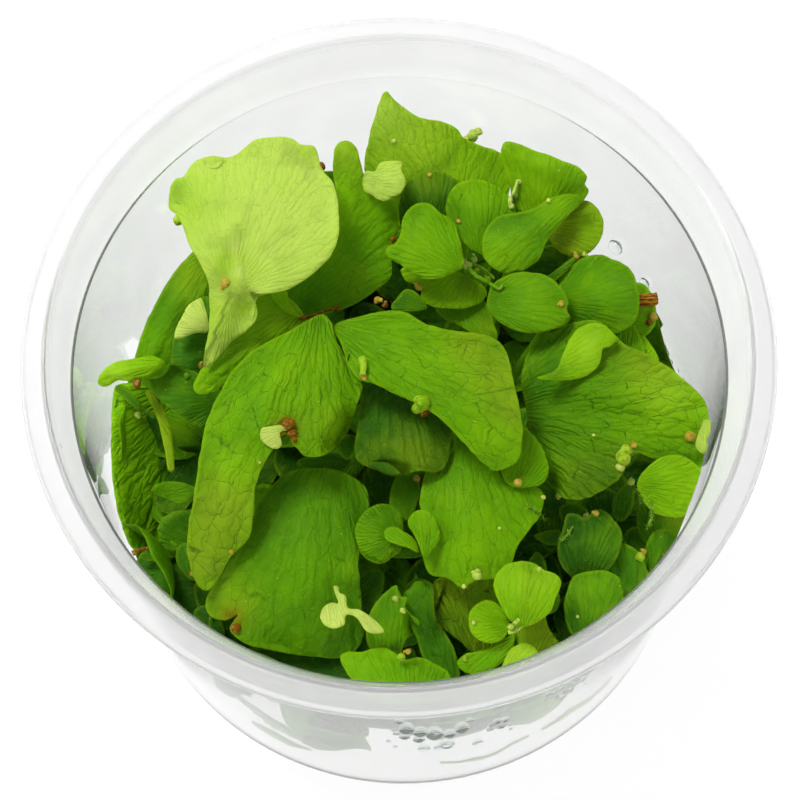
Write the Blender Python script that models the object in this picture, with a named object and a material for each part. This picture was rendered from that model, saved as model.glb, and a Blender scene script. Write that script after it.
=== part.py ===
"""Water sprite, a broad-leaved floating fern, heaped in a clear round pot.

The pot is one turned piece. The fern is a rootstock with five long fronds that rise along the
wall, and a heap of fronds lying over them. Each is laid on what is already under it, and most
have a stalk that finds its way down between the others to the rootstock. Lengths are in
millimetres until a mesh is written, in metres. The origin is the middle of the pot's underside.
"""
import math
from collections import namedtuple

import bmesh
import bpy
import numpy
from mathutils import Vector
from mathutils.bvhtree import BVHTree
from mathutils.geometry import delaunay_2d_cdt

MM = 0.001

# The pot
POT_HEIGHT = 73.0
RIM_RADIUS = 50.5
RIM_DROP = 1.5
LIP_DEPTH = 0.6
MOUTH_RADIUS = 47.0
LEDGE_RADIUS = 44.1
LEDGE_HEIGHT = 66.1
WALL_TOP_RADIUS = 43.7
WALL_FOOT_RADIUS = 40.1
WALL_FOOT_HEIGHT = 5.4
WALL_THICKNESS = 0.8
FLOOR_THICKNESS = 0.9
FOOT_RADIUS = 36.6
POT_SEGMENTS = 48

# The leaves
LEAF_THICKNESS = 0.6
LEAF_GAP = 0.3
FINEST_STEP = 1.7
COARSEST_STEP = 3.3
STEPS_AROUND = 32
INNER_SPACING = 1.2
RIPPLE = 0.35
WALL_CLEARANCE = 1.15
WALL_SOFTNESS = 1.5
WALL_CURL = 0.5

# The rootstock on the floor of the pot, and the fronds that rise from it
CROWN_MIDDLE = (0.0, -6.0, 7.6)
CROWN_SIZE = (8.0, 6.0, 5.9)
LOW_FRONDS = 5
LOW_FIRST_BEARING = 24.0
LOW_START = 10.5
LOW_START_HEIGHT = 5.0
LOW_TIP_HEIGHT = 31.0
LOW_HALF_WIDTH = 11.0

# The stalks, which end just short of the rootstock
STALK_WIDTH = 1.5
STALK_THICKNESS = 1.2
STALK_STATIONS = 6
STALK_REACHES = (3.0, 7.0, 12.0)
STALK_SINKS = (2.0, 6.0, 12.0)
STALK_APPROACHES = (7.0, 14.0, 21.0)
STALK_END_TIERS = (20.0, 50.0, 78.0, 2.0)
STALK_END_GAP = 0.9

# The line of sight along which the heap is laid out: u runs right, v up and w toward the eye,
# from the middle of the mouth
SIGHT_ELEVATION = math.radians(67.3)
SIGHT_DISTANCE = 454.5
SIGHT_CENTRE = Vector((0.0, 0.0, POT_HEIGHT))
SIGHT_BACK = Vector((0.0, -math.cos(SIGHT_ELEVATION), math.sin(SIGHT_ELEVATION)))
SIGHT_UP = Vector((0.0, math.sin(SIGHT_ELEVATION), math.cos(SIGHT_ELEVATION)))
EYE = SIGHT_CENTRE + SIGHT_BACK * SIGHT_DISTANCE

# The lattice that holds how high the heap stands so far
CELL = 0.5
HALF_SPAN = 55.0
CELLS = int(2 * HALF_SPAN / CELL) + 1
EMPTY = -1000.0

# Linear colours
GREENS = {
    "pale": (0.36, 0.55, 0.06),
    "bright": (0.16, 0.42, 0.01),
    "fresh": (0.09, 0.31, 0.005),
    "deep": (0.045, 0.20, 0.01),
    "shade": (0.025, 0.13, 0.012),
    "olive": (0.16, 0.26, 0.012),
}
POT_COLOUR = (0.86, 0.88, 0.87)
CROWN_COLOUR = (0.16, 0.06, 0.02)
OLD_STEM_COLOUR = (0.30, 0.14, 0.03)

# The cut stem of an old frond, which stands out of the heap on the right
OLD_STEM_FROM = (30.2, 5.0, 55.4)
OLD_STEM_TO = (34.8, 5.1, 55.0)
OLD_STEM_RADIUS = 1.05
OLD_STEM_SIDES = 10

# Each frond that shows: its green, the heights above the pot's underside of its base, middle and
# tip, how far its left and right margins hang below its midrib, where its tip is, and its outline
# in u and v from the base round to the base again
Frond = namedtuple("Frond", "name green heights droop tip outline")
ON_OTHERS = (
    "frond_low_left_oval", "frond_curled_round", "frond_small_oval", "frond_front_curl",
    "frond_front_disc", "frond_left_pale", "frond_back_olive", "frond_back_round",
    "frond_back_yellow_round", "frond_back_spoon", "frond_upper_triangle", "frond_upper_flat",
    "frond_upper_oval", "frond_upper_round", "frond_centre_right", "frond_right_bright",
    "frond_right_disc", "frond_top_lobed", "frond_centre_large",
)

FRONDS = (
    Frond("frond_left_wall", "deep", (34, 39, 44), (1.5, 1.5), (-38.6, -13), (
        (-28.4, -17), (-29.4, -8), (-31.5, -5), (-35, -3.4), (-37.6, -3.5), (-38.3, -6), (-38.6, -11),
        (-38.7, -15), (-38.3, -19), (-37.5, -22.6), (-36.2, -25.4), (-33, -25.6), (-30, -24.6),
        (-28.5, -21))),
    Frond("frond_low_left", "shade", (37, 37, 35), (1, 1), (-35.5, -31), (
        (-23, -30), (-26, -26.5), (-31, -25.2), (-35.5, -26.2), (-35.5, -31), (-31, -36), (-27, -38.5),
        (-24, -35))),
    Frond("frond_low_left_oval", "deep", (41, 42, 41), (1, 1), (-30.2, -25.8), (
        (-35.4, -26.4), (-34, -24.9), (-32, -24.2), (-30.5, -24.8), (-30.1, -26.2), (-32, -27.1),
        (-34, -27))),
    Frond("frond_left_dark", "shade", (42, 44, 44), (1, 1), (-30.2, 1), (
        (-22, -3), (-22, 3.8), (-25, 4.6), (-29.7, 2.7), (-30.3, 0), (-29.5, -2.6), (-27, -4.6),
        (-24, -5))),
    Frond("frond_front_left_dark", "shade", (43, 43, 42), (2, 2), (-22, -41), (
        (-5, -41), (-6, -38), (-11, -38), (-17, -39), (-22.5, -39.5), (-21, -43), (-12, -46.5),
        (-6, -46))),
    Frond("frond_right_low", "shade", (41, 43, 42), (1, 1), (26.5, -19.6), (
        (24.5, -25.5), (23.6, -22), (26, -19.6), (28.4, -20.6), (28.6, -23.6), (26.8, -25.8))),
    Frond("frond_right_olive", "deep", (45, 47, 47), (1, 1), (35.5, -21.5), (
        (33, -28.2), (31, -26), (31, -23), (33, -21.4), (37, -21.6), (39.3, -23.5), (37.6, -27),
        (35, -28.4))),
    Frond("frond_right_wall", "deep", (46, 49, 50), (1, 1), (34, -25.4), (
        (32, -33.6), (31, -30.5), (31.8, -27.6), (33.2, -25.7), (35, -25.6), (36.5, -27), (35.8, -29.6),
        (34.2, -32.4))),
    Frond("frond_right_front", "deep", (46, 49, 50), (1, 1), (28.6, -27.2), (
        (29.5, -37), (27, -33.5), (26.4, -30), (26.9, -27.9), (28.6, -27.1), (30.5, -28), (31.7, -30),
        (32.6, -33.5), (31.5, -37))),
    Frond("frond_mid_low", "shade", (44, 46, 47), (1, 1), (20.5, -19.2), (
        (18.4, -27.4), (17.4, -23), (18.3, -20.4), (20.5, -19), (21.8, -21), (21.4, -24.4),
        (20.2, -27.4))),
    Frond("frond_front_net", "olive", (44, 47, 49), (2, 2), (6.5, -30.6), (
        (9.5, -41.5), (5.8, -38.6), (3.2, -36.2), (2.6, -34), (3.6, -31.2), (6.3, -30.4), (10, -30.6),
        (13.2, -32.5), (13.6, -36), (12.2, -40))),
    Frond("frond_front_strap", "deep", (45, 48, 49), (1, 1), (0.4, -31), (
        (6, -45.5), (2.4, -43), (0.8, -38.5), (-0.7, -34.4), (-0.3, -31.8), (1.5, -30.7), (3.4, -31.8),
        (3.5, -35.8), (5.2, -38.8), (6.3, -42))),
    Frond("frond_front_budded", "fresh", (47, 50, 51), (1, 1.5), (-1.4, -31.7), (
        (-3.4, -42), (-5.7, -39), (-5.4, -35.5), (-3.6, -33), (-1.5, -31.5), (-1.1, -32.9),
        (-0.1, -33.3), (-0.5, -34.9), (1.9, -36.6), (1.4, -37.7), (-0.6, -39), (-1.6, -41.6))),
    Frond("frond_big_lower_left", "fresh", (52, 53, 44), (4, 3), (-17, -40), (
        (-12, -15.5), (-15.4, -16), (-18.6, -18.8), (-20.5, -22.5), (-23, -26.5), (-25.8, -30.6),
        (-26.9, -32.4), (-26.4, -34.6), (-24.4, -35.3), (-22.7, -34.6), (-23.8, -36.4), (-22, -38.4),
        (-18, -39.6), (-13, -40.5), (-9, -40.8), (-6.2, -38.5), (-6.2, -33), (-6.4, -28), (-5.4, -24),
        (-4.6, -20.5), (-5.4, -18), (-8.6, -16))),
    Frond("frond_lower_centre", "bright", (56, 57, 53), (2, 3), (8, -32), (
        (8, -12.5), (4.6, -14.4), (2.8, -17.2), (2.1, -20.5), (2.6, -24.5), (2.3, -28.2), (3.2, -30.3),
        (5.2, -30.8), (7.2, -32.1), (9.2, -31.3), (12.2, -31), (13.8, -29.4), (14.9, -26.8),
        (16.9, -24.4), (18.3, -22.3), (18.5, -20.1), (17, -18.8), (14.4, -17.8), (11.5, -14.6))),
    Frond("frond_curled_round", "fresh", (53, 54, 53), (1.2, 1.2), (-6.2, -23.5), (
        (-0.5, -26.6), (-1.8, -27.7), (-3.5, -28.6), (-5.3, -27.8), (-6.4, -26), (-6.6, -23.7),
        (-5.5, -21.7), (-3.6, -20.7), (-1.7, -20.9), (-0.4, -22.4), (-0.2, -24.2))),
    Frond("frond_small_oval", "fresh", (55, 56, 56), (0.7, 0.7), (1.9, -21.7), (
        (2.3, -28.2), (1.6, -25.9), (0.4, -23.6), (0.8, -22.3), (2, -21.6), (3.4, -22.2), (4.4, -23.8),
        (4.5, -25.4), (3.5, -27))),
    Frond("frond_right_notched", "deep", (50, 53, 52), (1.5, 1.5), (25.2, -22.6), (
        (23, -32), (20.6, -30), (20.1, -27.6), (20.8, -25.2), (21.6, -23), (23.1, -23.1), (24, -23.6),
        (25.2, -22.6), (26.5, -22.6), (27.7, -24), (28.8, -25.7), (28.3, -28.2), (27.2, -30.2),
        (25.4, -31.6))),
    Frond("frond_right_square", "fresh", (48, 52, 52), (1.5, 1.5), (25, -30.8), (
        (23.5, -41.5), (21.2, -38.5), (20.7, -35), (21.8, -31.7), (23.2, -30.8), (26.3, -30.7),
        (28.2, -32), (28.6, -35), (28.4, -38.4), (26.2, -41))),
    Frond("frond_front_left", "bright", (50, 53, 51), (0.5, 2), (-9.3, -41), (
        (5, -45.6), (4.9, -43.4), (3, -42), (1.2, -41.2), (-0.6, -41.4), (-1.7, -40.8), (-3.2, -39.8),
        (-5, -39.8), (-6.5, -40.2), (-8.5, -40.1), (-9.4, -41), (-8.2, -43.4), (-6, -46), (-3, -48),
        (1, -48))),
    Frond("frond_front_curl", "bright", (54, 53, 52), (0.6, 0.6), (6.2, -42.3), (
        (13.9, -38.2), (12.4, -39.4), (10, -40.5), (7.5, -41), (6.1, -42.1), (7, -43.4), (9.5, -43.7),
        (12, -42.4), (13.7, -40.2))),
    Frond("frond_front_disc", "bright", (54, 55, 55), (0.6, 0.6), (8.2, -37), (
        (13.3, -37.3), (12.6, -35.5), (11.5, -34.3), (10, -34), (8.6, -34.8), (7.9, -36.4),
        (8.4, -38.5), (9.8, -39.6), (11.5, -39.6), (12.9, -38.7))),
    Frond("frond_front_bright", "bright", (56, 58, 57), (1.2, 0.8), (16, -29.1), (
        (14.6, -37.6), (12.9, -36), (11.7, -33.4), (11.6, -31), (13, -29.5), (15, -29), (17, -29.3),
        (18.3, -30.3), (19.7, -30.8), (20.4, -32), (19.7, -34), (18.6, -36), (16.7, -37.3))),
    Frond("frond_left_behind_strap", "deep", (49, 51, 50), (1, 1.5), (-33.1, -3), (
        (-24, -6.5), (-25.6, -9.4), (-28, -8.7), (-31, -6.5), (-33, -4.2), (-33.2, -2.6), (-32, -1.3),
        (-30, -1), (-26.5, -2.4), (-24, -4))),
    Frond("frond_left_strap", "fresh", (60, 57, 51), (1.5, 1.5), (-33.5, -2.5), (
        (-24, 11.5), (-25.8, 14.2), (-28.4, 12.3), (-30, 10.4), (-31.6, 7.8), (-33.4, 4.6), (-34.6, 1.4),
        (-35.2, -1.5), (-33, -2.8), (-30.6, -1.8), (-30, 1.8), (-29, 4.8), (-27.4, 7), (-25, 8.4))),
    Frond("frond_left_pale", "bright", (57, 57, 56), (0.5, 0.5), (-40, -2.8), (
        (-31, -0.7), (-32.2, 0.1), (-33.5, 0.3), (-35.5, 0), (-37.5, -0.3), (-39.2, -1.3), (-40.1, -2.6),
        (-39.8, -3.4), (-38.8, -3.5), (-37.4, -2.8), (-36, -3), (-34.5, -2.8), (-33, -2.3),
        (-31.8, -1.5))),
    Frond("frond_back_pointed", "bright", (52, 58, 64), (2, 3), (-0.3, 34), (
        (9, 16), (2, 18), (-2, 20), (-3.5, 24), (-2.9, 27.5), (-2, 30.5), (-1.3, 32.5), (-0.3, 34.2),
        (0.7, 33.2), (2.2, 31.8), (3.6, 30.8), (5, 30.3), (7.2, 29.8), (9.2, 28.6), (9.9, 27.5),
        (12.2, 26.4), (14, 25.7), (15.4, 24.6), (15.8, 21), (14, 17.5))),
    Frond("frond_back_olive", "olive", (55, 58, 59), (1.2, 1.2), (5, 23.4), (
        (5, 13.5), (1.6, 15), (0.8, 18), (1.5, 20.6), (2.6, 22.4), (4.4, 23.4), (6.4, 23.4), (8, 22.5),
        (9.3, 21), (8.8, 16.5))),
    Frond("frond_back_round", "fresh", (57, 59, 60), (1.2, 1.2), (10.8, 21.9), (
        (11.5, 12), (9, 14), (7.3, 16.8), (7.2, 19.2), (8.4, 21.2), (10.6, 22), (12.9, 21.6),
        (14.9, 20.2), (16.3, 18), (15.6, 14.6), (13.6, 12.4))),
    Frond("frond_back_finger", "fresh", (51, 56, 63), (2, 2), (-5.9, 27.7), (
        (-14, 5.2), (-15.6, 7), (-15.4, 9), (-12, 10.5), (-9, 13), (-7.4, 16), (-7.3, 20), (-7.7, 24),
        (-7.5, 26.4), (-6.7, 27.6), (-5.6, 27.8), (-4.5, 26.9), (-4, 24.8), (-3.4, 22.4), (-1.6, 20.4),
        (0.4, 19.2), (0.8, 16.6), (0.2, 14.2), (-0.4, 11.8), (-0.6, 9.4), (-2.6, 7.8), (-6, 5.9),
        (-10, 4.8))),
    Frond("frond_under_lobed", "deep", (57, 57, 55), (1, 1.5), (-27, -4.6), (
        (-12.6, 5.4), (-12.4, 4), (-14.4, 2.8), (-18, 1), (-21.3, -1.6), (-23.4, -4), (-25, -4.9),
        (-26.8, -5), (-27.4, -3.9), (-26.4, -2), (-24.4, 0.2), (-22.4, 3), (-20.6, 6), (-18, 8.2),
        (-15, 7.8))),
    Frond("frond_top_lobed", "pale", (57, 65, 64), (2.6, 2.4), (-16, 28.4), (
        (-26, -1.3), (-25.4, 2), (-24.9, 5), (-24.8, 8.4), (-25.3, 11), (-27, 14.4), (-28, 17.4),
        (-28.7, 18.8), (-29.7, 19.8), (-29.6, 21.8), (-28.8, 23.7), (-27.8, 23.7), (-26.2, 25.7),
        (-24, 26.5), (-21.3, 26.2), (-19.6, 27.2), (-17.7, 28.5), (-14.7, 28.7), (-12.9, 28.4),
        (-11.9, 27.5), (-10.2, 27.3), (-9.5, 25.8), (-9.2, 24), (-7.6, 22), (-7.2, 18.5), (-7.3, 15.5),
        (-8.4, 12.8), (-10.8, 10.4), (-14.3, 8.4), (-17.6, 7.9), (-19.4, 8.2), (-18.6, 6.4),
        (-18.7, 4.6), (-20.2, 3), (-22, 1.7), (-24, -0.4), (-25.2, -1.5))),
    Frond("frond_back_dark", "shade", (53, 55, 54), (1, 1), (19, 12), (
        (25.6, 9.4), (23, 7.6), (19, 7.4), (17.4, 9.6), (18.6, 12.4), (21.6, 12.8), (24.8, 12))),
    Frond("frond_right_behind", "fresh", (51, 54, 52), (1.5, 1.5), (34.4, 3.4), (
        (28.6, 3.4), (30.4, 6.8), (32.4, 7.4), (33.7, 6.3), (34.5, 3.6), (34, 1.3), (32.4, 0.1),
        (30, 0.6))),
    Frond("frond_right_upper", "fresh", (56, 59, 55), (2.6, 2.4), (32.3, 5.6), (
        (22, 5.4), (21.8, 8), (23, 9.7), (25, 11), (27.2, 11.3), (29, 10.7), (30.7, 9.8), (31.9, 8),
        (32.3, 5.8), (32.2, 3.8), (31.4, 2), (29, 0.8), (26, 1.6), (23.2, 2.8))),
    Frond("frond_back_yellow_round", "olive", (56, 58, 57), (0.8, 0.8), (27.8, 15.6), (
        (20.6, 15.2), (21, 13), (22.5, 11.6), (24.6, 11.2), (26.4, 12), (27.6, 13.7), (27.9, 15.8),
        (27.2, 17.5), (25.8, 18.6), (23.8, 18.4), (22, 17))),
    Frond("frond_back_rolled", "fresh", (56, 60, 63), (1, 3), (22.5, 24.2), (
        (18.6, 16.6), (16.2, 18.4), (15.6, 21.5), (14.9, 24), (14.8, 26), (15.4, 26.9), (17, 26.5),
        (20, 25.2), (23, 24), (25, 23), (26, 21.7), (25.7, 20.8), (26.2, 19.8), (25, 18.2),
        (22, 16.8))),
    Frond("frond_back_spoon", "fresh", (61, 62, 60), (1.6, 1.6), (13, 10.6), (
        (24.8, 19.4), (21.6, 19.4), (19, 18), (16.5, 17.3), (14, 17), (12.3, 15.3), (11.7, 13),
        (12.2, 11), (13.7, 9.7), (15.5, 9.4), (17.5, 9.8), (19.4, 11.4), (20.3, 13.3), (21.6, 15),
        (23.5, 16.9), (25, 18.2))),
    Frond("frond_upper_triangle", "bright", (58, 59, 58), (0.8, 0.8), (13.1, 0.7), (
        (9, 6.4), (6.6, 5.8), (5.2, 4.8), (6.2, 3.7), (8, 2.8), (9.6, 1.7), (11.4, 1.1), (13.2, 0.6),
        (12.9, 3), (12.1, 5.2), (11, 6.6))),
    Frond("frond_upper_flat", "fresh", (60, 61, 60), (0.8, 0.8), (3.2, 6.4), (
        (9, 9.6), (5, 10), (1, 10.6), (1.3, 9), (2.4, 8.4), (3.3, 7.6), (3.3, 6.3), (4.5, 5.4),
        (6.6, 5), (9, 4.9), (11, 5.5), (12.1, 6.5), (11.7, 7.7), (10.4, 8.8))),
    Frond("frond_upper_oval", "fresh", (60, 62, 61), (1, 1), (23, 3.8), (
        (12, 5.6), (12.8, 7.8), (15, 9.2), (17, 9.4), (19.5, 9.1), (21.2, 8), (22.4, 6.5), (22.9, 5),
        (22.5, 4.2), (23, 3.2), (22.2, 2.1), (20, 1.5), (17, 1.3), (14.4, 2.4), (12.5, 4))),
    Frond("frond_upper_round", "fresh", (62, 63, 63), (1.2, 1.2), (2.6, 18.6), (
        (9, 10.4), (6.6, 9.2), (4.3, 9), (2.2, 9.7), (0.9, 11), (-1, 12.2), (-0.9, 13.4), (0.3, 14),
        (1, 15.4), (1.3, 17.2), (2.4, 18.7), (4, 19.2), (5.3, 18.8), (6.4, 17.7), (7.9, 16.6),
        (8.7, 14.5), (9.1, 12.2))),
    Frond("frond_right_large", "fresh", (54, 59, 58), (3, 2.4), (40.8, -11), (
        (16.8, -10), (16.2, -5), (17.2, -1.4), (19.6, 0.8), (23, 2.4), (27, 2.4), (30, -0.6),
        (33.2, -2.2), (36.6, -4.6), (39.8, -7.8), (40.8, -10), (40.7, -12.6), (39.4, -15),
        (37.4, -16.1), (34, -16.3), (31.4, -15.3), (30.2, -16), (29, -18.2), (27.4, -19.4),
        (24.6, -20.9), (21.8, -21), (19.6, -19.4), (17.6, -15.6))),
    Frond("frond_centre_right", "fresh", (55, 56, 55), (1, 1), (19.3, -16.6), (
        (13, -17), (13.6, -13.6), (15.6, -11), (17.3, -12), (18.8, -14.4), (19.4, -17), (18.2, -18.9),
        (16, -19.2), (14, -18.8))),
    Frond("frond_centre_under", "fresh", (55, 58, 56), (2, 1.6), (1, -17), (
        (-3, -2), (-5, -5), (-5.5, -8.4), (-6, -11.5), (-6.4, -13.8), (-5.7, -15.1), (-3.6, -16),
        (-1.8, -17), (0.2, -17), (2.3, -16.4), (4.5, -16.7), (5.8, -15.8), (6.4, -13), (6.9, -10),
        (5.4, -6), (1, -2.4))),
    Frond("frond_centre_left", "fresh", (60, 61, 48), (2.4, 1.6), (-28, -30), (
        (-10.2, 4.8), (-14.5, 2.8), (-18.5, 0.9), (-21.5, -1.5), (-24, -5), (-25.9, -9), (-26.9, -13),
        (-27.8, -18), (-28.7, -22), (-29.1, -25), (-28.8, -28), (-27.8, -30.6), (-26.5, -31.1),
        (-24.9, -29.4), (-23.3, -26.8), (-20.8, -24.4), (-20.1, -21), (-19.8, -18), (-18.6, -15),
        (-17, -12.4), (-15.4, -10.9), (-14.3, -12.4), (-13, -13.8), (-11, -14), (-9, -13.1),
        (-7.2, -11), (-6, -8), (-5, -5), (-5.4, -3.2), (-6.9, -1.4), (-8, 1), (-8.7, 3.6))),
    Frond("frond_centre_large", "fresh", (61, 63, 59), (1.4, 3), (15.6, -11), (
        (-7.4, 0.4), (-8.2, 3.4), (-4.5, 4.5), (-1, 5), (1.4, 4.6), (3.4, 3.2), (5.4, 2.5), (7.6, 2),
        (9.6, 1.7), (12, 1.1), (13.6, 0.1), (14.5, -1.5), (15, -4), (15.5, -7), (16, -9.8), (16, -13),
        (15.3, -15.6), (13.6, -16.6), (12, -16.8), (10.4, -15.5), (8.4, -13.2), (6.7, -11.2),
        (4, -8.6), (0, -6.4), (-3, -4.8), (-5.3, -4), (-6.8, -1.8))),
    Frond("frond_right_bright", "bright", (61, 62, 62), (0.8, 0.8), (28.9, 0), (
        (18.3, -4.7), (20.6, -4), (21.6, -2.2), (23, 0.4), (24.5, 1.9), (26.2, 2.3), (27.8, 1.7),
        (29, 0.1), (28.1, -1), (27.2, -1.2), (26.8, -2.9), (25.9, -4.1), (24, -5), (22, -5.2),
        (20, -5.1))),
    Frond("frond_right_disc", "bright", (57, 58, 57), (1, 1), (40, -19.6), (
        (31, -19.4), (32, -17.7), (33.8, -16.2), (36, -15.7), (38, -16.3), (39.5, -17.7), (40.1, -19.5),
        (39.9, -21.5), (38.6, -23.1), (36.5, -23.9), (34, -23.6), (32.3, -22.4), (31.5, -21))),
)


def material(name, colour, roughness, clear=False):
    """A plain finish of one colour."""
    finish = bpy.data.materials.new(name)
    finish.use_nodes = True
    shader = finish.node_tree.nodes["Principled BSDF"]
    shader.inputs["Base Color"].default_value = (*colour, 1.0)
    shader.inputs["Roughness"].default_value = roughness
    shader.inputs["Metallic"].default_value = 0.0
    if clear:
        shader.inputs["Transmission Weight"].default_value = 0.8
    return finish


def add_piece(name, points, faces, finish):
    """One closed body from points in millimetres, as an object of its own."""
    mesh = bpy.data.meshes.new(name)
    mesh.from_pydata([tuple(point * MM) for point in points], [], faces)
    mesh.materials.append(finish)
    mesh.shade_smooth()
    mesh.set_sharp_from_angle(angle=math.radians(50))
    piece = bpy.data.objects.new(name, mesh)
    bpy.context.collection.objects.link(piece)
    return piece


def turned(profile, segments):
    """A body of revolution from radius and height pairs that start and end on the axis."""
    points = [Vector((0.0, 0.0, profile[0][1]))]
    for radius, height in profile[1:-1]:
        for index in range(segments):
            turn = math.tau * index / segments
            points.append(Vector((radius * math.cos(turn), radius * math.sin(turn), height)))
    points.append(Vector((0.0, 0.0, profile[-1][1])))
    rings = len(profile) - 2
    last = len(points) - 1
    faces = []
    for index in range(segments):
        after = (index + 1) % segments
        faces.append((0, 1 + after, 1 + index))
        top = 1 + (rings - 1) * segments
        faces.append((last, top + index, top + after))
        for ring in range(rings - 1):
            low = 1 + ring * segments
            high = low + segments
            faces.append((low + index, low + after, high + after, high + index))
    return points, faces


def pot_profile():
    """Up the outside of the pot, over the rim and down the inside."""
    wall = WALL_THICKNESS
    outer_foot = WALL_FOOT_RADIUS + wall
    return [
        (0.0, 0.0),
        (FOOT_RADIUS, 0.0),
        (outer_foot - 1.3, 1.3),
        (outer_foot, WALL_FOOT_HEIGHT - wall),
        (WALL_TOP_RADIUS + wall, LEDGE_HEIGHT - wall),
        (MOUTH_RADIUS + wall, POT_HEIGHT - 1.1),
        (RIM_RADIUS - LIP_DEPTH, POT_HEIGHT - RIM_DROP - LIP_DEPTH),
        (RIM_RADIUS, POT_HEIGHT - RIM_DROP - LIP_DEPTH),
        (RIM_RADIUS, POT_HEIGHT - RIM_DROP),
        (MOUTH_RADIUS, POT_HEIGHT),
        (LEDGE_RADIUS, LEDGE_HEIGHT),
        (WALL_TOP_RADIUS, LEDGE_HEIGHT - 0.4),
        (WALL_FOOT_RADIUS, WALL_FOOT_HEIGHT),
        (WALL_FOOT_RADIUS - 1.1, 2.2),
        (FOOT_RADIUS - 0.2, FLOOR_THICKNESS),
        (0.0, FLOOR_THICKNESS),
    ]


def wall_radius(height):
    """The pot's inside radius at a height."""
    rise = (height - WALL_FOOT_HEIGHT) / (LEDGE_HEIGHT - WALL_FOOT_HEIGHT)
    return WALL_FOOT_RADIUS + (WALL_TOP_RADIUS - WALL_FOOT_RADIUS) * min(max(rise, 0.0), 1.0)


def keep_inside(point):
    """Bring a point of a leaf in from the wall, where the margin turns up along it."""
    radius = math.hypot(point.x, point.y)
    start = wall_radius(point.z) - WALL_CLEARANCE - WALL_SOFTNESS
    if radius <= start:
        return point
    over = radius - start
    kept = start + WALL_SOFTNESS * (1.0 - math.exp(-over / WALL_SOFTNESS))
    rise = WALL_CURL * (radius - kept)
    return Vector((point.x * kept / radius, point.y * kept / radius, point.z + rise))


def from_sight(u, v, w):
    """The point w nearer the eye than the mouth's middle, on the line of sight through u, v."""
    on_plane = SIGHT_CENTRE + Vector((u, 0.0, 0.0)) + SIGHT_UP * v
    return on_plane.lerp(EYE, w / SIGHT_DISTANCE)


def to_sight(point):
    """The u, v and w of a point."""
    offset = point - SIGHT_CENTRE
    w = offset.dot(SIGHT_BACK)
    scale = 1.0 - w / SIGHT_DISTANCE
    return offset.x / scale, offset.dot(SIGHT_UP) / scale, w


def depth_at(v, height):
    """The w at which a line of sight through v is at a height."""
    plane_height = POT_HEIGHT + v * SIGHT_UP.z
    return (height - plane_height) * SIGHT_DISTANCE / (EYE.z - plane_height)


def smooth_outline(corners):
    """A closed curve through the corners, as evenly spaced points that run counter-clockwise."""
    corners = [Vector(corner) for corner in corners]
    count = len(corners)
    area = sum(corners[i - 1].cross(corners[i]) for i in range(count))
    if area < 0:
        corners.reverse()
    fine = []
    for i in range(count):
        before, start, end, after = (corners[(i + k) % count] for k in (-1, 0, 1, 2))
        for part in range(8):
            t = part / 8
            fine.append(0.5 * (
                2 * start + (end - before) * t + (2 * before - 5 * start + 4 * end - after) * t ** 2
                + (3 * start - before - 3 * end + after) * t ** 3))
    lengths = [(fine[(i + 1) % len(fine)] - fine[i]).length for i in range(len(fine))]
    around = sum(lengths)
    step = min(max(around / STEPS_AROUND, FINEST_STEP), COARSEST_STEP)
    wanted = max(8, round(around / step))
    points = []
    travelled = 0.0
    index = 0
    for k in range(wanted):
        target = around * k / wanted
        while travelled + lengths[index] < target:
            travelled += lengths[index]
            index += 1
        share = (target - travelled) / lengths[index]
        points.append(fine[index].lerp(fine[(index + 1) % len(fine)], share))
    return points, around / wanted


def is_inside(point, outline):
    """Whether a point is within the outline, by counting the edges to its right."""
    inside = False
    for i in range(len(outline)):
        a, b = outline[i - 1], outline[i]
        if (a.y > point.y) != (b.y > point.y):
            if point.x < a.x + (b.x - a.x) * (point.y - a.y) / (b.y - a.y):
                inside = not inside
    return inside


def edge_distance(point, outline):
    """How far a point is from the outline's nearest edge."""
    nearest = math.inf
    for i in range(len(outline)):
        start, edge = outline[i - 1], outline[i] - outline[i - 1]
        share = min(max((point - start).dot(edge) / edge.length_squared, 0.0), 1.0)
        nearest = min(nearest, (point - start - edge * share).length)
    return nearest


def fill_outline(outline, step):
    """Triangles over the outline, with inner points on a staggered lattice."""
    spacing = step * INNER_SPACING
    low_x = min(point.x for point in outline)
    high_x = max(point.x for point in outline)
    low_y = min(point.y for point in outline)
    high_y = max(point.y for point in outline)
    inner = []
    row_height = spacing * math.sqrt(0.75)
    for row in range(int((high_y - low_y) / row_height) + 1):
        y = low_y + (row + 0.5) * row_height
        shift = 0.5 * (row % 2)
        for column in range(int((high_x - low_x) / spacing) + 2):
            point = Vector((low_x + (column + shift) * spacing, y))
            if is_inside(point, outline) and edge_distance(point, outline) > 0.55 * spacing:
                inner.append(point)
    flat = outline + inner
    found = delaunay_2d_cdt(flat, [], [list(range(len(outline)))], 1, 1e-6)
    return flat, [tuple(face) for face in found[2]]


def frond_heights(frond, flat, index):
    """The height of each point: along the midrib, down to the margins, with a slight ripple."""
    base = Vector(frond.outline[0])
    axis = Vector(frond.tip) - base
    sides = [axis.cross(point - base) / axis.length for point in flat]
    left = max(max(sides), 1.0)
    right = max(-min(sides), 1.0)
    low, middle, high = frond.heights
    heights = []
    for point, side in zip(flat, sides):
        along = min(max((point - base).dot(axis) / axis.length_squared, -0.1), 1.1)
        height = low + (4 * middle - 3 * low - high) * along + 2 * (low + high - 2 * middle) * along ** 2
        if side > 0:
            share = side / left
            height -= frond.droop[0] * share ** 2
        else:
            share = -side / right
            height -= frond.droop[1] * share ** 2
        height += RIPPLE * share ** 2 * math.sin(9.0 * along + 1.7 * index + (2.0 if side > 0 else 0.0))
        heights.append(height)
    return heights


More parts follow.
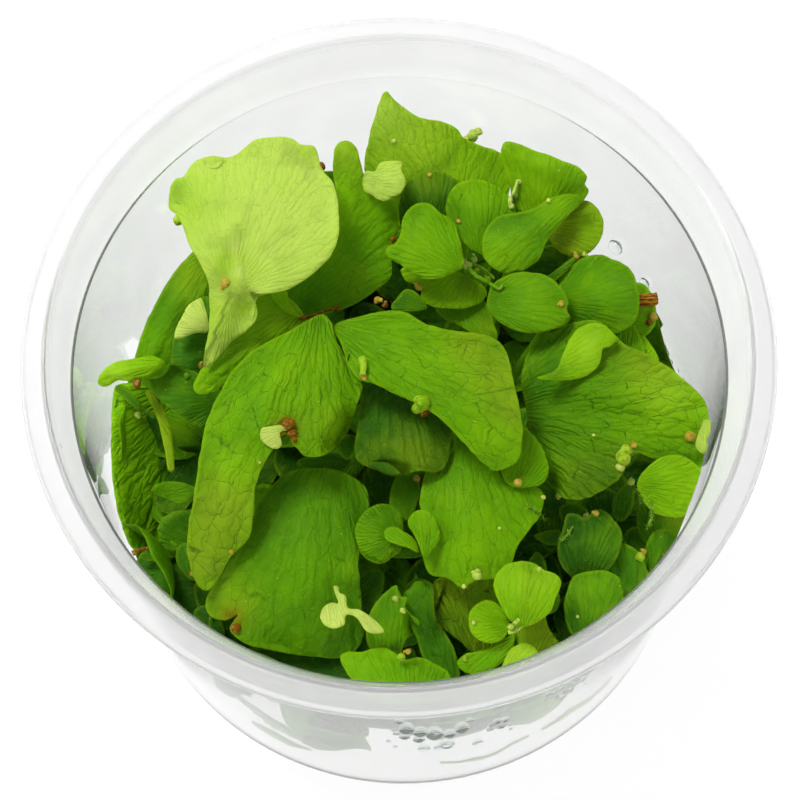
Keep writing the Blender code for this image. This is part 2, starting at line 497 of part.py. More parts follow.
def cover(seen, triangles):
    """The lattice cells that a leaf covers, with its w at each."""
    rows, columns, depths = [], [], []
    for triangle in triangles:
        (ax, ay, aw), (bx, by, bw), (cx, cy, cw) = (seen[i] for i in triangle)
        area = (bx - ax) * (cy - ay) - (cx - ax) * (by - ay)
        if abs(area) < 1e-6:
            continue
        low_x = math.ceil((min(ax, bx, cx) + HALF_SPAN) / CELL)
        high_x = math.floor((max(ax, bx, cx) + HALF_SPAN) / CELL)
        low_y = math.ceil((min(ay, by, cy) + HALF_SPAN) / CELL)
        high_y = math.floor((max(ay, by, cy) + HALF_SPAN) / CELL)
        xs, ys = numpy.meshgrid(numpy.arange(low_x, high_x + 1), numpy.arange(low_y, high_y + 1))
        x = xs * CELL - HALF_SPAN
        y = ys * CELL - HALF_SPAN
        second = ((x - ax) * (cy - ay) - (cx - ax) * (y - ay)) / area
        third = ((bx - ax) * (y - ay) - (x - ax) * (by - ay)) / area
        within = (second >= -0.02) & (third >= -0.02) & (second + third <= 1.02)
        depth = aw + second * (bw - aw) + third * (cw - aw)
        rows.append(xs[within])
        columns.append(ys[within])
        depths.append(depth[within])
    return numpy.concatenate(rows), numpy.concatenate(columns), numpy.concatenate(depths)


def raise_heap(heap, seen, triangles):
    """Note in the lattice how near the eye the heap now reaches."""
    rows, columns, depths = cover(seen, triangles)
    numpy.maximum.at(heap, (rows, columns), depths)


def drape(heap, seen, triangles):
    """Lift a leaf along the line of sight where it would sink into the heap, bending it softly."""
    spots = numpy.array([(u, v) for u, v, _ in seen])
    depth = numpy.array([w for _, _, w in seen])
    reach = max(6.0, 0.8 * float(numpy.ptp(spots, axis=0).max()))
    for _ in range(5):
        rows, columns, depths = cover([(*spot, w) for spot, w in zip(spots, depth)], triangles)
        need = heap[rows, columns] + LEAF_GAP + 1.3 * LEAF_THICKNESS - depths
        sunk = need > 0.02
        if not sunk.any():
            break
        cells = numpy.stack((rows[sunk], columns[sunk]), axis=1) * CELL - HALF_SPAN
        distance = numpy.linalg.norm(spots[:, None, :] - cells[None, :, :], axis=2) / reach
        fade = numpy.clip(1.0 - distance ** 2, 0.0, 1.0) ** 2
        depth = depth + (need[sunk][None, :] * fade).max(axis=1)
    return [(u, v, w) for (u, v), w in zip(spots, depth)]


def thicken(points, triangles, rim, gap=0.0, stalk=0):
    """A closed body from a sheet whose rim runs counter-clockwise as seen from its upper side.

    The last points are the stalk's, which is thicker. The body is grown by a gap, for tests.
    """
    normals = [Vector() for _ in points]
    for a, b, c in triangles:
        normal = (points[b] - points[a]).cross(points[c] - points[a])
        for corner in (a, b, c):
            normals[corner] += normal
    for normal in normals:
        normal.normalize()
    count = len(points)
    spread = list(points)
    for i, corner in enumerate(rim):
        along = points[rim[(i + 1) % len(rim)]] - points[rim[i - 1]]
        spread[corner] = points[corner] + along.cross(normals[corner]).normalized() * gap
    thickness = [LEAF_THICKNESS] * (count - stalk) + [STALK_THICKNESS] * stalk
    body = [point + normal * gap for point, normal in zip(spread, normals)]
    body += [point - normal * (deep + gap) for point, normal, deep in zip(spread, normals, thickness)]
    faces = list(triangles)
    faces += [(c + count, b + count, a + count) for a, b, c in triangles]
    for i, start in enumerate(rim):
        end = rim[(i + 1) % len(rim)]
        faces.append((end, start, start + count, end + count))
    return body, faces


def tree_of(points, faces):
    """What a test for overlap needs of a body."""
    return BVHTree.FromPolygons([tuple(point) for point in points], faces)


def is_clear(tree, laid):
    """Whether a body overlaps none of those laid before."""
    return not any(tree.overlap(other) for other in laid)


def is_simple(points, faces):
    """Whether a body nowhere passes through itself."""
    tree = tree_of(points, faces)
    return all(set(faces[one]) & set(faces[other]) for one, other in tree.overlap(tree))


def settle(seen, triangles, rim, laid, drops):
    """Slide a draped sheet along the line of sight until it is clear of every piece.

    A sheet that rests on others also drops, until it would touch them.
    """
    push = 0.0
    while True:
        points = [keep_inside(from_sight(u, v, w + push)) for u, v, w in seen]
        if push > 30.0 or is_clear(tree_of(*thicken(points, triangles, rim, LEAF_GAP)), laid):
            break
        push += 0.25
    while drops and push > -8.0:
        lower = [keep_inside(from_sight(u, v, w + push - 0.25)) for u, v, w in seen]
        if not is_clear(tree_of(*thicken(lower, triangles, rim, LEAF_GAP)), laid):
            break
        points = lower
        push -= 0.25
    return points


def stalk_ends(start):
    """Places on the rootstock's skin where a stalk can end, the nearest side first."""
    middle = Vector(CROWN_MIDDLE)
    ahead = math.atan2(start.y - middle.y, start.x - middle.x)
    ends = []
    for turn in (0, 20, -20, 40, -40, 60, -60, 85, -85, 110, -110):
        for tier in STALK_END_TIERS:
            bearing, rise = ahead + math.radians(turn), math.radians(tier)
            level = math.cos(rise)
            out = Vector((level * math.cos(bearing), level * math.sin(bearing), math.sin(rise)))
            ends.append((middle + Vector([
                (size * 1.1 + STALK_END_GAP) * part for size, part in zip(CROWN_SIZE, out)]), out))
    return ends


def stalk_strip(near, far, outward, reach, sink, end, out, approach):
    """Pairs of points along a curved stalk, from a blade's edge near-far to its end."""
    start = (near + far) / 2
    first = start + outward * reach - Vector((0.0, 0.0, sink))
    second = end + out * approach
    width = far - near
    pairs = []
    for station in range(1, STALK_STATIONS + 1):
        t = station / STALK_STATIONS
        s = 1.0 - t
        place = start * s ** 3 + first * 3 * s * s * t + second * 3 * s * t * t + end * t ** 3
        ahead = (first - start) * s * s + (second - first) * 2 * s * t + (end - second) * t * t
        width = width - ahead * (width.dot(ahead) / ahead.length_squared)
        half = width.normalized() * STALK_WIDTH / 2
        pairs.append((place - half, place + half))
    return pairs


def add_stalk(points, triangles, rim, base, laid):
    """Give a blade a stalk, along the first curve found that is clear of every piece."""
    edge = min(range(len(rim)), key=lambda i: (points[rim[i]] - base).length + (
        points[rim[(i + 1) % len(rim)]] - base).length)
    near, far = rim[edge], rim[(edge + 1) % len(rim)]
    start = (points[near] + points[far]) / 2
    nearby = sorted(points, key=lambda point: (point - start).length)[:12]
    outward = (start - sum(nearby, Vector()) / len(nearby)).normalized()
    blade = tree_of(*thicken(points, triangles, rim, LEAF_GAP))
    for end, out in stalk_ends(start):
        for approach in STALK_APPROACHES:
            for reach in STALK_REACHES:
                for sink in STALK_SINKS:
                    pairs = stalk_strip(
                        points[near], points[far], outward, reach, sink, end, out, approach)
                    if max(math.hypot(place.x, place.y) - wall_radius(place.z) for pair in pairs
                           for place in pair) > -WALL_CLEARANCE - 0.6:
                        continue
                    strip = [place for pair in pairs[1:] for place in pair]
                    count = len(strip) // 2
                    faces = [face for k in range(count - 1) for face in (
                        (2 * k + 1, 2 * k, 2 * k + 2), (2 * k + 1, 2 * k + 2, 2 * k + 3))]
                    edge_round = [2 * k for k in range(count)] + [2 * k + 1 for k in range(count)][::-1]
                    tree = tree_of(*thicken(strip, faces, edge_round, LEAF_GAP, len(strip)))
                    if tree.overlap(blade) or not is_clear(tree, laid):
                        continue
                    left = [near] + [len(points) + 2 * k for k in range(len(pairs))]
                    right = [far] + [len(points) + 2 * k + 1 for k in range(len(pairs))]
                    added = [face for k in range(len(pairs)) for face in (
                        (right[k], left[k], left[k + 1]), (right[k], left[k + 1], right[k + 1]))]
                    whole = points + [place for pair in pairs for place in pair]
                    around = rim[:edge + 1] + left[1:] + right[:0:-1] + rim[edge + 1:]
                    sheet = whole, triangles + added, around, 2 * len(pairs)
                    body = thicken(*sheet[:3], LEAF_GAP, sheet[3])
                    if is_simple(*thicken(*sheet[:3], 0.0, sheet[3])) and is_clear(tree_of(*body), laid):
                        return sheet
    return points, triangles, rim, 0


def lay_sheet(name, seen, triangles, rim, heap, laid, finish, base=None):
    """Lay a draped sheet on what is there already, with a stalk if it has a base, and add it."""
    points = settle(seen, triangles, rim, laid, base is None)
    stalk = 0
    if base is not None:
        points, triangles, rim, stalk = add_stalk(points, triangles, rim, base, laid)
    laid.append(tree_of(*thicken(points, triangles, rim, 0.0, stalk)))
    raise_heap(heap, [to_sight(point) for point in points], triangles)
    body, faces = thicken(points, triangles, rim, 0.0, stalk)
    return add_piece(name, body, faces, finish)


def crown_body():
    """The knobbly rootstock, as an uneven ball."""
    form = bmesh.new()
    bmesh.ops.create_uvsphere(form, u_segments=14, v_segments=9, radius=1.0)
    points = []
    for vertex in form.verts:
        spot = vertex.co.copy()
        turn = math.atan2(spot.y, spot.x)
        knobs = 1.0 + 0.10 * math.sin(5 * turn + 3 * spot.z) * (1 - spot.z ** 2)
        points.append(Vector(CROWN_MIDDLE) + Vector([
            knobs * part * size for part, size in zip(spot, CROWN_SIZE)]))
    faces = [tuple(vertex.index for vertex in face.verts) for face in form.faces]
    form.free()
    return points, faces


def low_frond_sheet(number):
    """A long frond that rises from the rootstock and opens against the wall."""
    bearing = math.radians(LOW_FIRST_BEARING + 360.0 / LOW_FRONDS * number)
    ahead = Vector((math.cos(bearing), math.sin(bearing), 0.0))
    aside = Vector((-ahead.y, ahead.x, 0.0))
    start = Vector((CROWN_MIDDLE[0], CROWN_MIDDLE[1], 0.0))
    along = start.dot(ahead)
    reach = -along + math.sqrt(along ** 2 - start.length_squared + wall_radius(LOW_TIP_HEIGHT) ** 2)
    stations, across = 8, 4
    points = []
    for station in range(stations + 1):
        share = station / stations
        if share < 0.35:
            half = 1.1
        else:
            half = 1.1 + (LOW_HALF_WIDTH - 1.1) * math.sin(math.pi * (share - 0.35) / 0.72) ** 0.8
        distance = LOW_START + (reach - LOW_START - 2.5) * math.sin(0.5 * math.pi * share)
        height = LOW_START_HEIGHT + (LOW_TIP_HEIGHT - LOW_START_HEIGHT) * share ** 1.6
        height += 1.5 * math.sin(2.2 * number)
        for column in range(across + 1):
            offset = (2 * column / across - 1) * half
            cup = 0.02 * offset ** 2
            points.append(keep_inside(
                start + ahead * distance - aside * offset + Vector((0.0, 0.0, height + cup))))
    triangles = []
    width = across + 1
    for station in range(stations):
        for column in range(across):
            a = station * width + column
            triangles.append((a, a + 1, a + width + 1))
            triangles.append((a, a + width + 1, a + width))
    rim = list(range(width))
    rim += [station * width + across for station in range(1, stations)]
    rim += [stations * width + column for column in range(across, -1, -1)]
    rim += [station * width for station in range(stations - 1, 0, -1)]
    return points, triangles, rim


def old_stem_body():
    """A cut stem, slightly flared at its open end."""
    start, end = Vector(OLD_STEM_FROM), Vector(OLD_STEM_TO)
    start = from_sight(start.x, start.y, depth_at(start.y, start.z))
    end = from_sight(end.x, end.y, depth_at(end.y, end.z))
    ahead = (end - start).normalized()
    side = ahead.cross(Vector((0.0, 0.0, 1.0))).normalized()
    upward = side.cross(ahead)
    points = []
    shares = (0.0, 0.33, 0.66, 1.0)
    for share in shares:
        for k in range(OLD_STEM_SIDES):
            turn = math.tau * k / OLD_STEM_SIDES
            radius = OLD_STEM_RADIUS * (0.92 + 0.14 * share + 0.05 * math.cos(3 * turn))
            points.append(start.lerp(end, share) + radius * (side * math.cos(turn) + upward * math.sin(turn)))
    sides = OLD_STEM_SIDES
    last = sides * (len(shares) - 1)
    faces = [tuple(range(sides)), tuple(range(last + sides - 1, last - 1, -1))]
    for ring in range(len(shares) - 1):
        for k in range(sides):
            after = (k + 1) % sides
            low = ring * sides
            faces.append((low + k, low + sides + k, low + sides + after, low + after))
    return points, faces


def build():
    """The whole pot and its heap, from the floor up."""
    for old in list(bpy.data.objects):
        bpy.data.objects.remove(old, do_unlink=True)

    greens = {name: material("leaf_" + name, colour, 0.42) for name, colour in GREENS.items()}
    heap = numpy.full((CELLS, CELLS), EMPTY)
    laid = []

    points, faces = turned(pot_profile(), POT_SEGMENTS)
    add_piece("pot", points, faces, material("clear_pot", POT_COLOUR, 0.25, clear=True))
    laid.append(tree_of(points, faces))

    points, faces = crown_body()
    add_piece("crown", points, faces, material("rootstock", CROWN_COLOUR, 0.8))
    laid.append(tree_of(points, faces))

    for number in range(LOW_FRONDS):
        points, triangles, rim = low_frond_sheet(number)
        seen = [to_sight(point) for point in points]
        lay_sheet(f"frond_low_{number + 1}", seen, triangles, rim, heap, laid, greens["shade"])

    for index, frond in enumerate(FRONDS):
        outline, step = smooth_outline(frond.outline)
        flat, triangles = fill_outline(outline, step)
        heights = frond_heights(frond, flat, index)
        seen = [(spot.x, spot.y, depth_at(spot.y, height)) for spot, height in zip(flat, heights)]
        seen = drape(heap, seen, triangles)
        rim = list(range(len(outline)))
        base = None
        if frond.name not in ON_OTHERS:
            u, v = frond.outline[0]
            base = keep_inside(from_sight(u, v, depth_at(v, frond.heights[0])))
        lay_sheet(frond.name, seen, triangles, rim, heap, laid, greens[frond.green], base)
        if frond.name == "frond_right_behind":
            points, faces = old_stem_body()
            add_piece("old_stem", points, faces, material("dry_stem", OLD_STEM_COLOUR, 0.7))
            laid.append(tree_of(points, faces))
            raise_heap(heap, [to_sight(point) for point in points], [
                (face[0], face[1], face[2]) for face in faces] + [
                (face[0], face[2], face[3]) for face in faces])


build()
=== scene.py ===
# %% [markdown]
# # A water sprite in a clear pot
#
# Water sprite is a floating fern with broad, rounded, net-veined fronds. Small buds and whole new
# plants sprout along their margins. This scene dresses the solid parts of one pot of it: the solids
# give every frond its place, and here each one gets a fine skin, veins, washes of colour and the
# small growths that a solid leaves out.
#
# The solids come in first. The finished plant may not be larger.

import math
from collections import namedtuple

import bmesh
import bpy
import numpy as np
from mathutils import Matrix, Vector
from mathutils.bvhtree import BVHTree
from mathutils.geometry import delaunay_2d_cdt


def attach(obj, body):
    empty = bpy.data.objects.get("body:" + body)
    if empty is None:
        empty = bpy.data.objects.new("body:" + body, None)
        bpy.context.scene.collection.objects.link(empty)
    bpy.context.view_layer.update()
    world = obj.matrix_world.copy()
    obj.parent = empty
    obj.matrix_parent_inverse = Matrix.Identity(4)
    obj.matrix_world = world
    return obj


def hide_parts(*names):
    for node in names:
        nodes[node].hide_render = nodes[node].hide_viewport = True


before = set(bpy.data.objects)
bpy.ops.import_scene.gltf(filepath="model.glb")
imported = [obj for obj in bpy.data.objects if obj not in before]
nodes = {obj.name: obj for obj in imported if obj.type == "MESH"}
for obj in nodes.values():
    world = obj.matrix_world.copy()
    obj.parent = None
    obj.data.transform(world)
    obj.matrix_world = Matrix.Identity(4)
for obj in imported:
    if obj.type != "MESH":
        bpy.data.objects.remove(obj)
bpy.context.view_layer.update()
MM = 0.001

# %% [markdown]
# A heap like this is easiest to lay out the way it is looked at. A place on it is given by u to the
# right and v upward, in millimetres across the line of sight through the middle of the mouth, and
# by w, how far it stands out toward the eye. A place that only moves in w stays where it is in the
# picture, so small growths can be put exactly where they are seen.

# %% The line of sight
SIGHT_ELEVATION = math.radians(67.3)
SIGHT_DISTANCE = 454.5
RIM_HEIGHT = 73.0
CENTRE = np.array((0.0, 0.0, RIM_HEIGHT))
BACK = np.array((0.0, -math.cos(SIGHT_ELEVATION), math.sin(SIGHT_ELEVATION)))
UP = np.array((0.0, math.sin(SIGHT_ELEVATION), math.cos(SIGHT_ELEVATION)))
RIGHT = np.array((1.0, 0.0, 0.0))
EYE = CENTRE + BACK * SIGHT_DISTANCE


def from_sight(u, v, w):
    """Places in millimetres, one row each, from arrays of u, v and w."""
    u, v, w = (np.asarray(value, float)[..., None] for value in (u, v, w))
    on_plane = CENTRE + RIGHT * u + UP * v
    return on_plane + (EYE - on_plane) * w / SIGHT_DISTANCE


def to_sight(places):
    """The u, v and w of places in millimetres."""
    offset = places - CENTRE
    w = offset @ BACK
    nearer = 1.0 - w / SIGHT_DISTANCE
    return offset[:, 0] / nearer, (offset @ UP) / nearer, w


def depth_at(v, height):
    """The w at which the line of sight through v is at a height above the table."""
    plane_height = RIM_HEIGHT + np.asarray(v) * UP[2]
    return (height - plane_height) * SIGHT_DISTANCE / (EYE[2] - plane_height)


def points_of(mesh):
    """A mesh's points in millimetres, one row each."""
    flat = np.empty(len(mesh.vertices) * 3)
    mesh.vertices.foreach_get("co", flat)
    return flat.reshape(-1, 3) / MM


print("eye at", [round(value) for value in EYE], "mm")

# %% [markdown]
# Shaders are written as sums. A Link stands for a socket of a node, and adding, multiplying or
# comparing Links adds the nodes that do it, so a pattern reads like a formula and the same few
# lines serve every finish.

# %% Shaders as formulas
class Link:
    """A node's output that can be used in arithmetic."""

    def __init__(self, tree, socket):
        self.tree = tree
        self.socket = socket

    def feed(self, socket, value):
        """Give a socket a value or a link."""
        if isinstance(value, Link):
            self.tree.links.new(value.socket, socket)
        else:
            socket.default_value = value

    def node(self, kind, settings=(), output=0, **inputs):
        """The output of a new node: its type, its settings, then its sockets by name or number."""
        node = self.tree.nodes.new(kind)
        for name, value in dict(settings).items():
            setattr(node, name, value)
        for name, value in inputs.items():
            key = int(name[1:]) if name[1:].isdigit() else name.replace("_", " ")
            self.feed(node.inputs[key], value)
        return Link(self.tree, node.outputs[output])

    def math(self, operation, first, second=0.0):
        return self.node("ShaderNodeMath", {"operation": operation}, i0=first, i1=second)

    def __add__(self, other):
        return self.math("ADD", self, other)

    def __radd__(self, other):
        return self.math("ADD", other, self)

    def __sub__(self, other):
        return self.math("SUBTRACT", self, other)

    def __rsub__(self, other):
        return self.math("SUBTRACT", other, self)

    def __mul__(self, other):
        return self.math("MULTIPLY", self, other)

    def __rmul__(self, other):
        return self.math("MULTIPLY", other, self)

    def larger(self, other):
        return self.math("MAXIMUM", self, other)

    def step(self, low, high):
        """A smooth step from 0 at low to 1 at high."""
        return self.node("ShaderNodeMapRange", {"interpolation_type": "SMOOTHSTEP"},
                         Value=self, From_Min=low, From_Max=high)

    def scaled(self, x, y=None, z=None):
        """A vector multiplied part by part."""
        by = (x, x if y is None else y, x if z is None else z)
        return self.node("ShaderNodeVectorMath", {"operation": "MULTIPLY"}, i0=self, i1=by)

    def mixed(self, other, share):
        """This colour with a share of another laid over it."""
        return self.node("ShaderNodeMix", {"data_type": "RGBA"}, output=2,
                         i0=share, i6=self, i7=other)

    def between(self, first, second):
        """The colour that this share makes of two plain ones."""
        return self.node("ShaderNodeMix", {"data_type": "RGBA"}, output=2,
                         i0=self, i6=first, i7=second)

    def painted(self, name, output=0):
        """What is written into the mesh under a name."""
        return self.node("ShaderNodeAttribute", {"attribute_name": name}, output=output)

    def part(self, axis):
        """One number of a vector: 0 for x, 1 for y, 2 for z."""
        return self.node("ShaderNodeSeparateXYZ", output=axis, Vector=self)

    def noise(self, scale, detail=2.0, output=0):
        """Soft random patches, as a number, or as a colour with output 1."""
        return self.node("ShaderNodeTexNoise", output=output,
                         Vector=self, Scale=scale, Detail=detail)

    def cells(self, feature="F1", flat=False):
        """The distance to the middle or to the edge of random cells."""
        settings = {"feature": feature, "voronoi_dimensions": "2D" if flat else "3D"}
        return self.node("ShaderNodeTexVoronoi", settings, Vector=self, Scale=1.0)


def new_finish(name):
    """A material, its shader and a Link to start formulas from: the place in millimetres."""
    finish = bpy.data.materials.new(name)
    finish.use_nodes = True
    tree = finish.node_tree
    shader = tree.nodes["Principled BSDF"]
    place = Link(tree, None).node("ShaderNodeTexCoord", output=3).scaled(1 / MM)
    return finish, shader, place


def set_plain(shader, **values):
    """Set what is the same all over a surface on the shader's own sockets."""
    for name, value in values.items():
        shader.inputs[name.replace("_", " ")].default_value = value


def cover(shader, colour, roughness, relief, strength, depth):
    """Feed a shader its colour, roughness and relief, whose depth is in millimetres."""
    bumps = relief.node("ShaderNodeBump", Strength=strength, Distance=depth * MM, Height=relief)
    colour.feed(shader.inputs["Base Color"], colour)
    colour.feed(shader.inputs["Roughness"], roughness)
    colour.feed(shader.inputs["Normal"], bumps)


def srgb(red, green, blue):
    """A colour as it is read off a screen, 0 to 255, in the linear values that shaders use."""
    parts = [value / 255 for value in (red, green, blue)]
    return tuple(p / 12.92 if p < 0.04045 else ((p + 0.055) / 1.055) ** 2.4 for p in parts) + (1.0,)


print("shader formulas ready")

# %% [markdown]
# Every frond shares one leaf finish. What differs from frond to frond is written into its mesh: a
# wash of colour, how strongly its net of veins shows, and a map of the blade that holds the
# distance from where the veins fan out, the angle round that place, and the distance to the
# margin. The veins are the borders of long cells that are laid out on this map, so they fan out
# and fork as real ones do, with a second, finer net between them toward the margin. They are
# thin, dark and sunken, and the tissue between them bulges a little; the middle of each cell is
# painted lighter, a painted highlight on that bulge. Over this come broad patches, a fine grain and
# a light margin, so that no blade is one flat green, and a fine sparkle and a few pale spots that
# are painted glints.

# %% The leaf finish
LIGHTER = srgb(166, 208, 16)
DARKER = srgb(18, 62, 4)
# The colour of the painted glints.
GLINT_SPECK = srgb(216, 234, 150)
VEINS_AROUND = 11.0
FINE_VEINS_AROUND = 19.0


def leaf_finish():
    finish, shader, place = new_finish("leaf")
    wash, net, blade = place.painted("wash"), place.painted("net", 2), place.painted("blade", 1)
    reach, angle, margin = (blade.part(axis) for axis in range(3))
    sway = place.noise(0.35, 3.0, output=1).part(0) - 0.5
    angle = angle + sway * 0.08
    growth = reach.math("LOGARITHM", reach, math.e)
    long_map = place.node("ShaderNodeCombineXYZ",
                          X=(growth + sway * 0.12) * 1.9, Y=angle * VEINS_AROUND)
    fine_map = place.node("ShaderNodeCombineXYZ",
                          X=(reach + sway * 1.5) * 0.42, Y=angle * FINE_VEINS_AROUND)
    coarse = long_map.cells("DISTANCE_TO_EDGE", flat=True)
    fine = fine_map.cells("DISTANCE_TO_EDGE", flat=True)
    outward = reach.step(6.0, 16.0)
    patches = place.noise(0.16, 3.0)
    mottle = place.noise(1.1, 3.0)
    strong = mottle.step(0.36, 0.62)
    veins = (1.0 - coarse.step(0.004, 0.030)) * (0.35 + strong * 0.65)
    veins = veins.larger((1.0 - fine.step(0.004, 0.036)) * outward * (0.4 + strong * 0.6))
    grain = place.noise(6.0, 3.0)
    edge = 1.0 - margin.step(0.05, 0.55)
    light = wash.mixed(LIGHTER, 0.40)
    dark = wash.mixed(DARKER, 0.70)
    colour = wash.mixed(light, patches.step(0.50, 0.72) * 0.45)
    colour = colour.mixed(dark, (1.0 - patches.step(0.28, 0.50)) * 0.35)
    colour = colour.mixed(light, mottle.step(0.50, 0.72) * 0.16)
    # Lighter toward the middle of each cell: a painted highlight on the bulging tissue.
    colour = colour.mixed(light, coarse.step(0.1, 0.5) * 0.22 * net)
    colour = colour.mixed(dark, veins * net * 1.6)
    colour = colour.mixed(dark, (1.0 - grain.step(0.30, 0.55)) * 0.16)
    # A fine sparkle of the lighter green: painted glints.
    colour = colour.mixed(LIGHTER, grain.step(0.62, 0.74) * 0.22)
    colour = colour.mixed(light, edge * 0.40)
    # Pale spots that are painted glints, and shinier than the blade around them.
    glint_specks = (1.0 - place.scaled(0.8).cells().step(0.035, 0.075)) * mottle.step(0.54, 0.60)
    colour = colour.mixed(GLINT_SPECK, glint_specks * 0.7)
    relief = coarse.step(0.0, 0.30) * net + fine.step(0.0, 0.30) * net * outward * 0.6
    relief = relief + grain * 0.10 + mottle * 0.5
    set_plain(shader, Subsurface_Weight=0.15, Subsurface_Radius=(0.9, 1.0, 0.1),
              Subsurface_Scale=0.7 * MM, Specular_IOR_Level=0.04)
    cover(shader, colour, 0.36 + grain * 0.2 - glint_specks * 0.2, relief, strength=0.9, depth=0.32)
    return finish


leaf = leaf_finish()
print("leaf finish:", len(leaf.node_tree.nodes), "nodes")

# %% [markdown]
# The greens are few: each frond starts from one and gets dabs of others, such as the bronze tint
# of old fronds that grew in strong light and the yellow-green of a young margin. Some dabs of the
# deep and shade greens are painted shade, where a frond lies under others, and the cream dabs on
# top_lobed are a painted highlight along its fold.

# %% The greens
GREENS = {
    "pale": srgb(188, 220, 88),
    "yellow": srgb(158, 200, 40),
    "bright": srgb(126, 182, 10),
    "fresh": srgb(100, 160, 6),
    "middle": srgb(84, 142, 8),
    "deep": srgb(62, 118, 12),
    "shade": srgb(40, 88, 12),
    "olive": srgb(122, 156, 18),
    "bronze": srgb(138, 164, 30),
    "cream": srgb(200, 222, 104),
    "tan": srgb(190, 170, 56),
    "brown": srgb(126, 84, 8),
    "dusk": srgb(82, 118, 16),
}
print(len(GREENS), "greens")

# %% [markdown]
# Each frond that shows has a row here: its green, how strong its net is, where its veins fan out,
# dabs of other greens (place, reach, colour and strength), soft folds (a line from one place to
# another, its reach and its rise), and the outline of its blade. The rows run from the lowest frond
# to the top of the heap.

